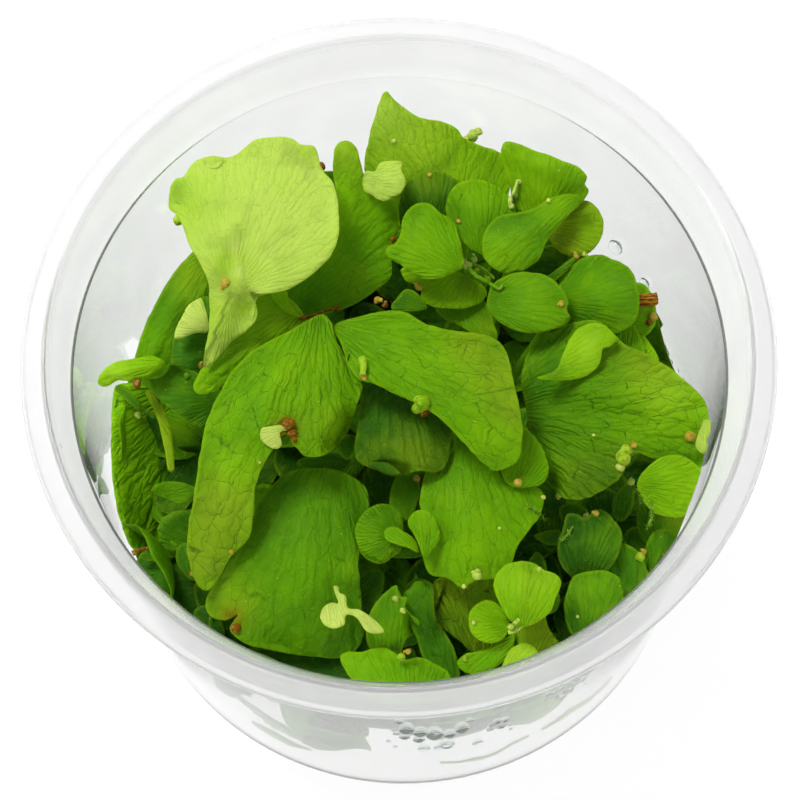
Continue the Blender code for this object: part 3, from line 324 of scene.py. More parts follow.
# %% The fronds that show
Look = namedtuple("Look", "green net fan dabs folds outline")
FRONDS = {
    "left_wall": Look("fresh", 0.6, (-25.5, -3),
        ((-37.8, -8, 6, "bright", 0.5), (-37.6, -20, 5, "bright", 0.4), (-30, -18, 4, "deep", 0.7)),
        ((-38, -8, -28, -14, 1.4, 0.35), (-38, -19, -29, -19, 1.2, 0.3)),
        ((-28.4, -17), (-29.4, -8), (-31.5, -5), (-35, -3.4), (-37.6, -3.5), (-38.3, -6),
         (-38.6, -11), (-38.7, -15), (-38.3, -19), (-37.5, -22.6), (-36.2, -25.4), (-33, -25.6),
         (-30, -24.6), (-28.5, -21))),
    "low_left": Look("shade", 0.25, (-22, -30),
        ((-33, -28, 5, "deep", 0.7),), (),
        ((-23, -30), (-26, -26.5), (-31, -25.2), (-35.5, -26.2), (-35.5, -31), (-31, -36),
         (-27, -38.5), (-24, -35))),
    "low_left_oval": Look("deep", 0.3, (-38, -27),
        ((-32, -24.6, 2, "fresh", 0.5),), (),
        ((-35.4, -26.4), (-34, -24.9), (-32, -24.2), (-30.5, -24.8), (-30.1, -26.2), (-32, -27.1),
         (-34, -27))),
    "left_dark": Look("deep", 0.25, (-20, 0),
        ((-22, -3, 5, "shade", 0.8),), (),
        ((-22, -3), (-22, 3.8), (-25, 4.6), (-29.7, 2.7), (-30.3, 0), (-29.5, -2.6), (-27, -4.6),
         (-24, -5))),
    "front_left_dark": Look("shade", 0.2, (0, -42),
        (), (),
        ((-5, -41), (-6, -38), (-11, -38), (-17, -39), (-22.5, -39.5), (-21, -43), (-12, -46.5),
         (-6, -46))),
    "right_low": Look("shade", 0.25, (27, -28),
        (), (),
        ((24.5, -25.5), (23.6, -22), (26, -19.6), (28.4, -20.6), (28.6, -23.6), (26.8, -25.8))),
    "right_olive": Look("deep", 0.35, (34, -30),
        ((37, -23, 3, "olive", 0.6),), (),
        ((33, -28.2), (31, -26), (31, -23), (33, -21.4), (37, -21.6), (39.3, -23.5), (37.6, -27),
         (35, -28.4))),
    "right_wall": Look("deep", 0.35, (33, -36),
        ((34, -26, 2, "middle", 0.6),), (),
        ((32, -33.6), (31, -30.5), (31.8, -27.6), (33.2, -25.7), (35, -25.6), (36.5, -27),
         (35.8, -29.6), (34.2, -32.4))),
    "right_front": Look("deep", 0.35, (30, -40),
        ((29, -28, 2, "middle", 0.5),), (),
        ((29.5, -37), (27, -33.5), (26.4, -30), (26.9, -27.9), (28.6, -27.1), (30.5, -28),
         (31.7, -30), (32.6, -33.5), (31.5, -37))),
    "mid_low": Look("shade", 0.3, (19, -30),
        ((20, -20, 2, "deep", 0.6),), (),
        ((18.4, -27.4), (17.4, -23), (18.3, -20.4), (20.5, -19), (21.8, -21), (21.4, -24.4),
         (20.2, -27.4))),
    "front_net": Look("olive", 0.75, (10, -46),
        ((10, -33, 4, "middle", 0.4), (5, -38, 3, "deep", 0.6)), (),
        ((9.5, -41.5), (5.8, -38.6), (3.2, -36.2), (2.6, -34), (3.6, -31.2), (6.3, -30.4),
         (10, -30.6), (13.2, -32.5), (13.6, -36), (12.2, -40))),
    "front_strap": Look("deep", 0.3, (6, -50),
        ((1, -32, 3, "middle", 0.7), (3, -37, 2, "shade", 0.5)), (),
        ((6, -45.5), (2.4, -43), (0.8, -38.5), (-0.7, -34.4), (-0.3, -31.8), (1.5, -30.7),
         (3.4, -31.8), (3.5, -35.8), (5.2, -38.8), (6.3, -42))),
    "front_budded": Look("middle", 0.35, (-3, -46),
        ((-4, -36, 2, "deep", 0.6), (0, -37, 2, "fresh", 0.7)), (),
        ((-3.4, -42), (-5.7, -39), (-5.4, -35.5), (-3.6, -33), (-1.5, -31.5), (-1.1, -32.9),
         (-0.1, -33.3), (-0.5, -34.9), (1.9, -36.6), (1.4, -37.7), (-0.6, -39), (-1.6, -41.6))),
    "big_lower_left": Look("middle", 0.4, (-9, -8),
        ((-7, -34, 7, "deep", 0.85), (-7, -24, 5, "deep", 0.7), (-19, -20, 5, "deep", 0.6),
         (-13, -16, 5, "deep", 0.6), (-24, -34, 5, "olive", 0.7), (-13, -29, 8, "fresh", 0.6),
         (-17, -38, 5, "middle", 0.6), (-23.5, -34.8, 1.3, "brown", 0.8)),
        ((-11, -18, -13, -38, 3, 0.6), (-8, -17, -7, -30, 1.6, 0.7)),
        ((-12, -15.5), (-15.4, -16), (-18.6, -18.8), (-20.5, -22.5), (-23, -26.5), (-25.8, -30.6),
         (-26.9, -32.4), (-26.4, -34.6), (-24.4, -35.3), (-22.7, -34.6), (-23.8, -36.4),
         (-22, -38.4), (-18, -39.6), (-13, -40.5), (-9, -40.8), (-6.2, -38.5), (-6.2, -33),
         (-6.4, -28), (-5.4, -24), (-4.6, -20.5), (-5.4, -18), (-8.6, -16))),
    "lower_centre": Look("fresh", 0.4, (8, -6),
        ((6, -16, 5, "middle", 0.7), (4, -24, 3, "fresh", 0.7), (14, -20, 4, "fresh", 0.6),
         (10, -28, 6, "bright", 0.5)),
        ((8, -14, 9, -29, 2, 0.5), (10, -16, 16, -21, 1.4, 0.4)),
        ((8, -12.5), (4.6, -14.4), (2.8, -17.2), (2.1, -20.5), (2.6, -24.5), (2.3, -28.2),
         (3.2, -30.3), (5.2, -30.8), (7.2, -32.1), (9.2, -31.3), (12.2, -31), (13.8, -29.4),
         (14.9, -26.8), (16.9, -24.4), (18.3, -22.3), (18.5, -20.1), (17, -18.8), (14.4, -17.8),
         (11.5, -14.6))),
    "curled_round": Look("middle", 0.45, (-0.5, -25),
        ((-5.5, -25, 2, "bright", 0.4),), (),
        ((-0.5, -26.6), (-1.8, -27.7), (-3.5, -28.6), (-5.3, -27.8), (-6.4, -26), (-6.6, -23.7),
         (-5.5, -21.7), (-3.6, -20.7), (-1.7, -20.9), (-0.4, -22.4), (-0.2, -24.2))),
    "small_oval": Look("fresh", 0.35, (2.4, -30),
        ((2, -22.4, 1.5, "bright", 0.5),), (),
        ((2.3, -28.2), (1.6, -25.9), (0.4, -23.6), (0.8, -22.3), (2, -21.6), (3.4, -22.2),
         (4.4, -23.8), (4.5, -25.4), (3.5, -27))),
    "right_notched": Look("shade", 0.4, (23, -35),
        ((27, -27, 3, "middle", 0.7), (21, -26, 2, "shade", 0.5)), (),
        ((23, -32), (20.6, -30), (20.1, -27.6), (20.8, -25.2), (21.6, -23), (23.1, -23.1),
         (24, -23.6), (25.2, -22.6), (26.5, -22.6), (27.7, -24), (28.8, -25.7), (28.3, -28.2),
         (27.2, -30.2), (25.4, -31.6))),
    "right_square": Look("deep", 0.4, (23.5, -43),
        ((25, -32, 4, "fresh", 0.7), (22, -38, 3, "deep", 0.7)), (),
        ((23.5, -41.5), (21.2, -38.5), (20.7, -35), (21.8, -31.7), (23.2, -30.8), (26.3, -30.7),
         (28.2, -32), (28.6, -35), (28.4, -38.4), (26.2, -41))),
    "front_left": Look("fresh", 0.3, (0, -52),
        ((-7, -41, 3, "bright", 0.5), (2, -44, 3, "fresh", 0.5)), ((-8, -41, 3, -43, 1, 0.6),),
        ((5, -45.6), (4.9, -43.4), (3, -42), (1.2, -41.2), (-0.6, -41.4), (-1.7, -40.8),
         (-3.2, -39.8), (-5, -39.8), (-6.5, -40.2), (-8.5, -40.1), (-9.4, -41), (-8.2, -43.4),
         (-6, -46), (-3, -48), (1, -48))),
    "front_curl": Look("fresh", 0.3, (17, -37),
        ((8, -41, 2, "fresh", 0.5),), (),
        ((13.9, -38.2), (12.4, -39.4), (10, -40.5), (7.5, -41), (6.1, -42.1), (7, -43.4),
         (9.5, -43.7), (12, -42.4), (13.7, -40.2))),
    "front_disc": Look("bright", 0.35, (15, -37.5),
        ((12.5, -37.5, 1.5, "fresh", 0.6),), (),
        ((13.3, -37.3), (12.6, -35.5), (11.5, -34.3), (10, -34), (8.6, -34.8), (7.9, -36.4),
         (8.4, -38.5), (9.8, -39.6), (11.5, -39.6), (12.9, -38.7))),
    "front_bright": Look("bright", 0.3, (14, -41),
        ((13.5, -36.5, 2, "fresh", 0.6), (17, -31, 3, "yellow", 0.4)),
        ((14.5, -36, 16, -30, 1.2, 0.5),),
        ((14.6, -37.6), (12.9, -36), (11.7, -33.4), (11.6, -31), (13, -29.5), (15, -29),
         (17, -29.3), (18.3, -30.3), (19.7, -30.8), (20.4, -32), (19.7, -34), (18.6, -36),
         (16.7, -37.3))),
    "left_behind_strap": Look("deep", 0.3, (-22, -6),
        ((-32, -3, 3, "middle", 0.6),), (),
        ((-24, -6.5), (-25.6, -9.4), (-28, -8.7), (-31, -6.5), (-33, -4.2), (-33.2, -2.6),
         (-32, -1.3), (-30, -1), (-26.5, -2.4), (-24, -4))),
    "left_strap": Look("middle", 0.3, (-22, 16),
        ((-27, 11, 4, "olive", 0.6), (-33, 2, 4, "fresh", 0.6), (-29, 5, 2, "deep", 0.6)),
        ((-27, 12, -33, 0, 1, 0.6),),
        ((-24, 11.5), (-25.8, 14.2), (-28.4, 12.3), (-30, 10.4), (-31.6, 7.8), (-33.4, 4.6),
         (-34.6, 1.4), (-35.2, -1.5), (-33, -2.8), (-30.6, -1.8), (-30, 1.8), (-29, 4.8),
         (-27.4, 7), (-25, 8.4))),
    "left_pale": Look("bright", 0.25, (-29, -0.5),
        ((-38, -1.5, 2, "yellow", 0.6),), ((-32, -1, -39, -2, 0.6, 0.5),),
        ((-31, -0.7), (-32.2, 0.1), (-33.5, 0.3), (-35.5, 0), (-37.5, -0.3), (-39.2, -1.3),
         (-40.1, -2.6), (-39.8, -3.4), (-38.8, -3.5), (-37.4, -2.8), (-36, -3), (-34.5, -2.8),
         (-33, -2.3), (-31.8, -1.5))),
    "back_pointed": Look("bright", 0.34, (8, 12),
        ((-1, 32, 5, "pale", 0.6), (5, 29, 5, "yellow", 0.5), (11, 25, 4, "bright", 0.6),
         (1, 26, 5, "yellow", 0.7), (4, 20, 5, "yellow", 0.35), (-0.3, 33.9, 1, "olive", 0.8)),
        ((0, 32, 7, 18, 1.5, 0.7), (3, 20, 10, 26, 1.2, -0.4)),
        ((9, 16), (2, 18), (-2, 20), (-3.5, 24), (-2.9, 27.5), (-2, 30.5), (-1.3, 32.5),
         (-0.3, 34.2), (0.7, 33.2), (2.2, 31.8), (3.6, 30.8), (5, 30.3), (7.2, 29.8), (9.2, 28.6),
         (9.9, 27.5), (12.2, 26.4), (14, 25.7), (15.4, 24.6), (15.8, 21), (14, 17.5))),
    "back_olive": Look("deep", 0.35, (5, 11),
        ((5, 22, 3, "olive", 0.5), (4, 18, 3, "shade", 0.6)), (),
        ((5, 13.5), (1.6, 15), (0.8, 18), (1.5, 20.6), (2.6, 22.4), (4.4, 23.4), (6.4, 23.4),
         (8, 22.5), (9.3, 21), (8.8, 16.5))),
    "back_round": Look("fresh", 0.3, (12, 9),
        ((9, 17, 2, "middle", 0.6), (12, 20.5, 2.5, "bright", 0.5)), (),
        ((11.5, 12), (9, 14), (7.3, 16.8), (7.2, 19.2), (8.4, 21.2), (10.6, 22), (12.9, 21.6),
         (14.9, 20.2), (16.3, 18), (15.6, 14.6), (13.6, 12.4))),
    # The middle and deep dabs near its base are painted shadow of top_lobed above it.
    "back_finger": Look("fresh", 0.3, (-16, 4),
        ((-5.8, 26, 4, "yellow", 0.8), (-5.5, 21, 4, "bright", 0.7), (-9, 8, 5, "middle", 0.8),
         (-3, 8.5, 4, "middle", 0.8), (-12, 6, 4, "deep", 0.6)),
        ((-6, 26, -5.5, 17, 1.3, 0.9), (-2, 20, -1, 10, 1.5, 0.5)),
        ((-14, 5.2), (-15.6, 7), (-15.4, 9), (-12, 10.5), (-9, 13), (-7.4, 16), (-7.3, 20),
         (-7.7, 24), (-7.5, 26.4), (-6.7, 27.6), (-5.6, 27.8), (-4.5, 26.9), (-4, 24.8),
         (-3.4, 22.4), (-1.6, 20.4), (0.4, 19.2), (0.8, 16.6), (0.2, 14.2), (-0.4, 11.8),
         (-0.6, 9.4), (-2.6, 7.8), (-6, 5.9), (-10, 4.8))),
    "under_lobed": Look("bright", 0.35, (-10, 8),
        ((-24, -2, 4, "fresh", 0.6), (-16, 5, 4, "olive", 0.5)), ((-14, 5, -25, -3, 1, 0.5),),
        ((-12.6, 5.4), (-12.4, 4), (-14.4, 2.8), (-18, 1), (-21.3, -1.6), (-23.4, -4), (-25, -4.9),
         (-26.8, -5), (-27.4, -3.9), (-26.4, -2), (-24.4, 0.2), (-22.4, 3), (-20.6, 6), (-18, 8.2),
         (-15, 7.8))),
    # The small cream dabs along its fold are a painted highlight.
    "top_lobed": Look("pale", 0.24, (-22, 8),
        ((-27.5, 20, 4, "yellow", 0.6), (-24, 4, 4, "yellow", 0.7), (-20, 4, 3, "pale", 0.5),
         (-22, 12, 3, "yellow", 0.4), (-13, 19, 6, "cream", 0.25), (-24, 0, 3, "pale", 0.6),
         (-28.8, 22.5, 2, "bright", 0.5), (-11, 27, 2, "yellow", 0.5),
         (-21.1, 14.5, 0.9, "cream", 0.8), (-20.8, 11, 0.9, "cream", 0.9),
         (-22.6, 12, 1.4, "yellow", 0.7), (-18.6, 8.3, 0.8, "cream", 0.6),
         (-20.2, 6.2, 1.6, "yellow", 0.8), (-22, 1, 2, "bright", 0.3)),
        ((-24.2, 2, -21.4, 9, 1.6, 0.9), (-21.3, 16.5, -20.5, 8.6, 0.8, 0.8),
         (-20.4, 9.8, -17.6, 7.6, 0.7, 0.7), (-19.6, 6, -22, 0, 1.2, -0.5),
         (-16, 9, -9, 14, 3, 0.5), (-21, 27, -22, 20, 1.6, -0.5)),
        ((-26, -1.3), (-25.4, 2), (-24.9, 5), (-24.8, 8.4), (-25.3, 11), (-27, 14.4), (-28, 17.4),
         (-28.7, 18.8), (-29.7, 19.8), (-29.6, 21.8), (-28.8, 23.7), (-27.8, 23.7), (-26.2, 25.7),
         (-24, 26.5), (-21.3, 26.2), (-19.6, 27.2), (-17.7, 28.5), (-14.7, 28.7), (-12.9, 28.4),
         (-11.9, 27.5), (-10.2, 27.3), (-9.5, 25.8), (-9.2, 24), (-7.6, 22), (-7.2, 18.5),
         (-7.3, 15.5), (-8.4, 12.8), (-10.8, 10.4), (-14.3, 8.4), (-17.6, 7.9), (-19.4, 8.2),
         (-18.6, 6.4), (-18.7, 4.6), (-20.2, 3), (-22, 1.7), (-24, -0.4), (-25.2, -1.5))),
    "back_dark": Look("shade", 0.3, (27, 9),
        (), (),
        ((25.6, 9.4), (23, 7.6), (19, 7.4), (17.4, 9.6), (18.6, 12.4), (21.6, 12.8), (24.8, 12))),
    "right_behind": Look("fresh", 0.3, (27, 3.5),
        ((33, 4, 2, "bright", 0.4),), (),
        ((28.6, 3.4), (30.4, 6.8), (32.4, 7.4), (33.7, 6.3), (34.5, 3.6), (34, 1.3), (32.4, 0.1),
         (30, 0.6))),
    "right_upper": Look("middle", 0.25, (20, 5),
        ((28, 6, 4, "fresh", 0.6), (25, 3, 3, "deep", 0.6), (31, 8, 2, "fresh", 0.6)),
        ((24, 6, 31, 6, 2.5, 0.5),),
        ((22, 5.4), (21.8, 8), (23, 9.7), (25, 11), (27.2, 11.3), (29, 10.7), (30.7, 9.8),
         (31.9, 8), (32.3, 5.8), (32.2, 3.8), (31.4, 2), (29, 0.8), (26, 1.6), (23.2, 2.8))),
    "back_yellow_round": Look("olive", 0.35, (18, 16),
        ((26, 15, 2.5, "bright", 0.5), (22, 13, 2, "bronze", 0.6)), (),
        ((20.6, 15.2), (21, 13), (22.5, 11.6), (24.6, 11.2), (26.4, 12), (27.6, 13.7), (27.9, 15.8),
         (27.2, 17.5), (25.8, 18.6), (23.8, 18.4), (22, 17))),
    "back_rolled": Look("bright", 0.3, (19, 13),
        ((17, 24, 3, "bright", 0.5), (24, 21, 2.5, "middle", 0.6), (16.5, 20, 2, "deep", 0.6)),
        ((15.5, 25.5, 24, 21.5, 1.6, 0.8),),
        ((18.6, 16.6), (16.2, 18.4), (15.6, 21.5), (14.9, 24), (14.8, 26), (15.4, 26.9), (17, 26.5),
         (20, 25.2), (23, 24), (25, 23), (26, 21.7), (25.7, 20.8), (26.2, 19.8), (25, 18.2),
         (22, 16.8))),
    "back_spoon": Look("middle", 0.3, (27, 21),
        ((14, 13, 3, "bright", 0.5), (22, 17, 3, "bright", 0.5), (17, 11, 2, "middle", 0.5)),
        ((23, 18, 14, 13, 1.2, 0.5),),
        ((24.8, 19.4), (21.6, 19.4), (19, 18), (16.5, 17.3), (14, 17), (12.3, 15.3), (11.7, 13),
         (12.2, 11), (13.7, 9.7), (15.5, 9.4), (17.5, 9.8), (19.4, 11.4), (20.3, 13.3), (21.6, 15),
         (23.5, 16.9), (25, 18.2))),
    "upper_triangle": Look("fresh", 0.35, (8, 8),
        ((12, 2, 2, "olive", 0.5),), (),
        ((9, 6.4), (6.6, 5.8), (5.2, 4.8), (6.2, 3.7), (8, 2.8), (9.6, 1.7), (11.4, 1.1),
         (13.2, 0.6), (12.9, 3), (12.1, 5.2), (11, 6.6))),
    "upper_flat": Look("bright", 0.35, (11, 12),
        ((5, 6.5, 2, "fresh", 0.5), (9, 8, 2, "bright", 0.5)), (),
        ((9, 9.6), (5, 10), (1, 10.6), (1.3, 9), (2.4, 8.4), (3.3, 7.6), (3.3, 6.3), (4.5, 5.4),
         (6.6, 5), (9, 4.9), (11, 5.5), (12.1, 6.5), (11.7, 7.7), (10.4, 8.8))),
    "upper_oval": Look("middle", 0.3, (10, 5.6),
        ((19, 5, 3, "bright", 0.5), (14, 6, 2, "middle", 0.5)), (),
        ((12, 5.6), (12.8, 7.8), (15, 9.2), (17, 9.4), (19.5, 9.1), (21.2, 8), (22.4, 6.5),
         (22.9, 5), (22.5, 4.2), (23, 3.2), (22.2, 2.1), (20, 1.5), (17, 1.3), (14.4, 2.4),
         (12.5, 4))),
    "upper_round": Look("fresh", 0.35, (10, 9),
        ((3, 15, 3, "bright", 0.5), (6, 11, 3, "bright", 0.4), (8.5, 12, 2, "middle", 0.5)), (),
        ((9, 10.4), (6.6, 9.2), (4.3, 9), (2.2, 9.7), (0.9, 11), (-1, 12.2), (-0.9, 13.4),
         (0.3, 14), (1, 15.4), (1.3, 17.2), (2.4, 18.7), (4, 19.2), (5.3, 18.8), (6.4, 17.7),
         (7.9, 16.6), (8.7, 14.5), (9.1, 12.2))),
    # The deep and shade dabs on its left are painted shadow of the fronds above it.
    "right_large": Look("fresh", 0.6, (12, -9),
        ((39, -9, 5, "bright", 0.8), (36, -6, 4, "yellow", 0.5), (28, 0, 5, "dusk", 0.5),
         (33, -3, 4, "bronze", 0.5), (19, -5, 6, "deep", 0.9), (17, -12, 5, "shade", 0.6),
         (24, -19, 5, "dusk", 0.85), (29, -17, 4, "dusk", 0.6), (24, -9, 4, "middle", 0.4)),
        ((18, -4, 36, -9, 2.4, 0.8), (20, -10, 30, -14, 1.6, 0.6), (18, -8, 32, -11, 1.2, -0.5)),
        ((16.8, -10), (16.2, -5), (17.2, -1.4), (19.6, 0.8), (23, 2.4), (27, 2.4), (30, -0.6),
         (33.2, -2.2), (36.6, -4.6), (39.8, -7.8), (40.8, -10), (40.7, -12.6), (39.4, -15),
         (37.4, -16.1), (34, -16.3), (31.4, -15.3), (30.2, -16), (29, -18.2), (27.4, -19.4),
         (24.6, -20.9), (21.8, -21), (19.6, -19.4), (17.6, -15.6))),
    "centre_right": Look("fresh", 0.35, (14, -21),
        ((17, -14, 2.5, "bright", 0.4),), (),
        ((13, -17), (13.6, -13.6), (15.6, -11), (17.3, -12), (18.8, -14.4), (19.4, -17),
         (18.2, -18.9), (16, -19.2), (14, -18.8))),
    # Its shade green and its deep dabs are painted shadow of centre_large above it.
    "centre_under": Look("shade", 0.5, (-1, 4),
        ((2, -14, 4, "olive", 0.6), (-4, -8, 3, "deep", 0.6), (4, -9, 3, "deep", 0.6)), (),
        ((-3, -2), (-5, -5), (-5.5, -8.4), (-6, -11.5), (-6.4, -13.8), (-5.7, -15.1), (-3.6, -16),
         (-1.8, -17), (0.2, -17), (2.3, -16.4), (4.5, -16.7), (5.8, -15.8), (6.4, -13), (6.9, -10),
         (5.4, -6), (1, -2.4))),
    "centre_left": Look("fresh", 0.55, (-10, 9),
        ((-24, -20, 5, "yellow", 0.35), (-24, -20, 5, "bronze", 0.7), (-27, -27, 4, "bronze", 0.7),
         (-22, -14, 4, "bright", 0.6), (-10, -10, 4, "olive", 0.5), (-26, -24, 4, "olive", 0.6),
         (-13, -3, 6, "bright", 0.35), (-11, 3, 3, "middle", 0.5),
         (-15.5, -10.2, 1.6, "brown", 0.9)),
        ((-12, 2, -20, -10, 2.2, 0.7), (-22, -14, -26, -27, 1.8, 0.8), (-9, 3, -8, -9, 1.4, 0.45)),
        ((-10.2, 4.8), (-14.5, 2.8), (-18.5, 0.9), (-21.5, -1.5), (-24, -5), (-25.9, -9),
         (-26.9, -13), (-27.8, -18), (-28.7, -22), (-29.1, -25), (-28.8, -28), (-27.8, -30.6),
         (-26.5, -31.1), (-24.9, -29.4), (-23.3, -26.8), (-20.8, -24.4), (-20.1, -21), (-19.8, -18),
         (-18.6, -15), (-17, -12.4), (-15.4, -10.9), (-14.3, -12.4), (-13, -13.8), (-11, -14),
         (-9, -13.1), (-7.2, -11), (-6, -8), (-5, -5), (-5.4, -3.2), (-6.9, -1.4), (-8, 1),
         (-8.7, 3.6))),
    "centre_large": Look("fresh", 0.5, (-10, 4),
        ((13, -4, 4, "bronze", 0.6), (15, -9, 3, "bronze", 0.7), (10, 1, 3, "olive", 0.6),
         (-6, 2, 3, "middle", 0.6), (4, -1, 6, "bright", 0.35), (13, -13, 4, "bright", 0.6),
         (9, 0, 3, "bronze", 0.4)),
        ((-6, 2, 10, -4, 2, 0.5), (10, -4, 14, -13, 1.6, 0.4), (-2, 3, 10, 0, 1.2, -0.3)),
        ((-7.4, 0.4), (-8.2, 3.4), (-4.5, 4.5), (-1, 5), (1.4, 4.6), (3.4, 3.2), (5.4, 2.5),
         (7.6, 2), (9.6, 1.7), (12, 1.1), (13.6, 0.1), (14.5, -1.5), (15, -4), (15.5, -7),
         (16, -9.8), (16, -13), (15.3, -15.6), (13.6, -16.6), (12, -16.8), (10.4, -15.5),
         (8.4, -13.2), (6.7, -11.2), (4, -8.6), (0, -6.4), (-3, -4.8), (-5.3, -4), (-6.8, -1.8))),
    "right_bright": Look("bright", 0.2, (17, -5.5),
        ((25, -1, 3, "yellow", 0.5), (20, -3.4, 1.6, "deep", 0.8)),
        ((20, -4, 27, 1, 3, 0.9), (23.5, -4.5, 25, 1.5, 1, -0.4)),
        ((18.3, -4.7), (20.6, -4), (21.6, -2.2), (23, 0.4), (24.5, 1.9), (26.2, 2.3), (27.8, 1.7),
         (29, 0.1), (28.1, -1), (27.2, -1.2), (26.8, -2.9), (25.9, -4.1), (24, -5), (22, -5.2),
         (20, -5.1))),
    "right_disc": Look("bright", 0.3, (29, -19.4),
        ((33, -19.5, 2, "fresh", 0.6), (38, -18, 2, "bright", 0.5)), (),
        ((31, -19.4), (32, -17.7), (33.8, -16.2), (36, -15.7), (38, -16.3), (39.5, -17.7),
         (40.1, -19.5), (39.9, -21.5), (38.6, -23.1), (36.5, -23.9), (34, -23.6), (32.3, -22.4),
         (31.5, -21))),
}
print(len(FRONDS), "fronds that show")

# %% [markdown]
# A blade is drawn as its outline: a smooth curve through the corners, made slightly uneven as a
# real margin is, and filled with fine triangles. Drawing it, instead of smoothing the solid, keeps
# the margin exactly where it is.

# %% Outlines
def waves(places, seed, length):
    """A smooth random value from -1 to 1 at each place, with waves of about a length."""
    chance = np.random.default_rng(seed)
    total = np.zeros(len(places))
    for _ in range(5):
        direction = chance.normal(size=places.shape[1])
        direction *= math.tau / (length * chance.uniform(0.8, 1.4) * np.linalg.norm(direction))
        total += np.sin(places @ direction + chance.uniform(0, math.tau)) / 5
    return total


def smooth_outline(corners, spacing, uneven, seed):
    """A closed curve through the corners, as rows that run counter-clockwise."""
    corners = np.array(corners, float)
    if np.sum(np.cross(np.roll(corners, 1, 0), corners)) < 0:
        corners = corners[::-1]
    rows = []
    count = len(corners)
    for i in range(count):
        before, start, end, after = (corners[(i + k) % count] for k in (-1, 0, 1, 2))
        steps = max(1, round(np.linalg.norm(end - start) / spacing))
        for t in np.arange(steps) / steps:
            rows.append(0.5 * (2 * start + (end - before) * t
                               + (2 * before - 5 * start + 4 * end - after) * t ** 2
                               + (3 * start - before - 3 * end + after) * t ** 3))
    rows = np.array(rows)
    along = np.roll(rows, -1, 0) - np.roll(rows, 1, 0)
    length = np.linalg.norm(along, axis=1)[:, None] + 1e-9
    outward = np.stack((along[:, 1], -along[:, 0]), 1) / length
    shift = uneven * (waves(rows, seed, 3.2) + 0.6 * waves(rows, seed + 1, 1.5))
    return rows + outward * shift[:, None]


print("outlines can be drawn")


# %% Filling an outline
ROW_STEP = 0.866


def inside(outline, x, y):
    """Which of the places lie inside an outline."""
    found = np.zeros(len(x), bool)
    for (ax, ay), (bx, by) in zip(np.roll(outline, 1, 0), outline):
        if ay != by:
            found ^= ((ay > y) != (by > y)) & (x < ax + (bx - ax) * (y - ay) / (by - ay))
    return found


def to_margin(outline, x, y):
    """How far each place is from an outline."""
    best = np.full(len(x), np.inf)
    for (ax, ay), (bx, by) in zip(np.roll(outline, 1, 0), outline):
        length = (bx - ax) ** 2 + (by - ay) ** 2 + 1e-9
        t = np.clip(((x - ax) * (bx - ax) + (y - ay) * (by - ay)) / length, 0, 1)
        best = np.minimum(best, np.hypot(x - ax - t * (bx - ax), y - ay - t * (by - ay)))
    return best


def fill(outline, spacing):
    """Places over an outline, the margin first, and the triangles between them."""
    low, high = outline.min(0), outline.max(0)
    row, column = np.mgrid[0:int((high[1] - low[1]) / spacing / ROW_STEP) + 1,
                           0:int((high[0] - low[0]) / spacing) + 1]
    x = (low[0] + (column + 0.5 * (row % 2)) * spacing).ravel()
    y = (low[1] + (row + 0.5) * spacing * ROW_STEP).ravel()
    keep = inside(outline, x, y) & (to_margin(outline, x, y) > 0.6 * spacing)
    flat = np.concatenate((outline, np.stack((x[keep], y[keep]), 1)))
    rim = list(range(len(outline)))
    found = delaunay_2d_cdt([Vector(p) for p in flat], [], [rim], 1, 1e-7)
    triangles = np.array([face for face in found[2] if len(face) == 3])
    return np.array([tuple(p) for p in found[0]]), triangles


def evened(values, triangles, rounds):
    """Values on a mesh after each has been drawn toward the mean of its neighbours."""
    a = np.concatenate((triangles[:, 0], triangles[:, 1], triangles[:, 2]))
    b = np.concatenate((triangles[:, 1], triangles[:, 2], triangles[:, 0]))
    first, second = np.concatenate((a, b)), np.concatenate((b, a))
    count = np.bincount(first, minlength=len(values))
    for _ in range(rounds):
        mean = np.bincount(first, values[second], len(values)) / np.maximum(count, 1)
        values = values + 0.5 * (mean - values)
    return values


print("outlines can be filled")


# %% Staying inside the pot
FOOT_RADIUS = 40.1
FOOT_HEIGHT = 5.4
WALL_SPREAD = 3.6
WALL_RISE = 60.3


def wall_radius(height):
    """The radius that leaves keep to at a height, just inside the pot's wall."""
    return FOOT_RADIUS + WALL_SPREAD * np.clip((height - FOOT_HEIGHT) / WALL_RISE, 0.0, 1.0)


def kept_inside(places, gap):
    """Places moved inward where they would come nearer to the wall than a gap."""
    radius = np.hypot(places[:, 0], places[:, 1])
    allowed = wall_radius(places[:, 2]) - gap
    share = np.minimum(1.0, allowed / np.maximum(radius, 1e-6))
    return places * np.stack((share, share, np.ones(len(share))), 1)


print("leaves keep within", wall_radius(RIM_HEIGHT), "mm of the axis")

# %% [markdown]
# The drawn blade takes its heights from the solid frond: a line of sight through each place meets
# the solid's upper side. The heights are evened, folds and low waves are added, and a lower side is
# laid under it, closer near the margin, which is thin on a real blade. A frond's stalk is taken
# from the solid and smoothed.

# %% Where lines of sight meet a skin
skins = {}


def tree_of(points, faces):
    return BVHTree.FromPolygons([tuple(p) for p in points], [tuple(face) for face in faces])


def skin_of(mesh):
    """A mesh's surface, ready to be met by lines of sight."""
    return tree_of(points_of(mesh), [polygon.vertices for polygon in mesh.polygons])


def first_hit(tree, u, v):
    """The w of a skin where lines of sight meet it, nan where they miss."""
    targets = from_sight(u, v, np.zeros(len(u)))
    eye = Vector(EYE)
    w = np.full(len(u), np.nan)
    for index, target in enumerate(targets):
        hit = tree.ray_cast(eye, (Vector(target) - eye).normalized())[0]
        if hit is not None:
            w[index] = (np.array(hit) - CENTRE) @ BACK
    return w


print("lines of sight can be followed")


# %% What a mesh carries
FIELDS = {"FLOAT": "value", "FLOAT_VECTOR": "vector", "FLOAT_COLOR": "color"}


def write(mesh, name, kind, values):
    """Give each point of a mesh a number, vector or colour that its finish reads."""
    mesh.attributes.new(name, kind, "POINT").data.foreach_set(FIELDS[kind], np.ravel(values))


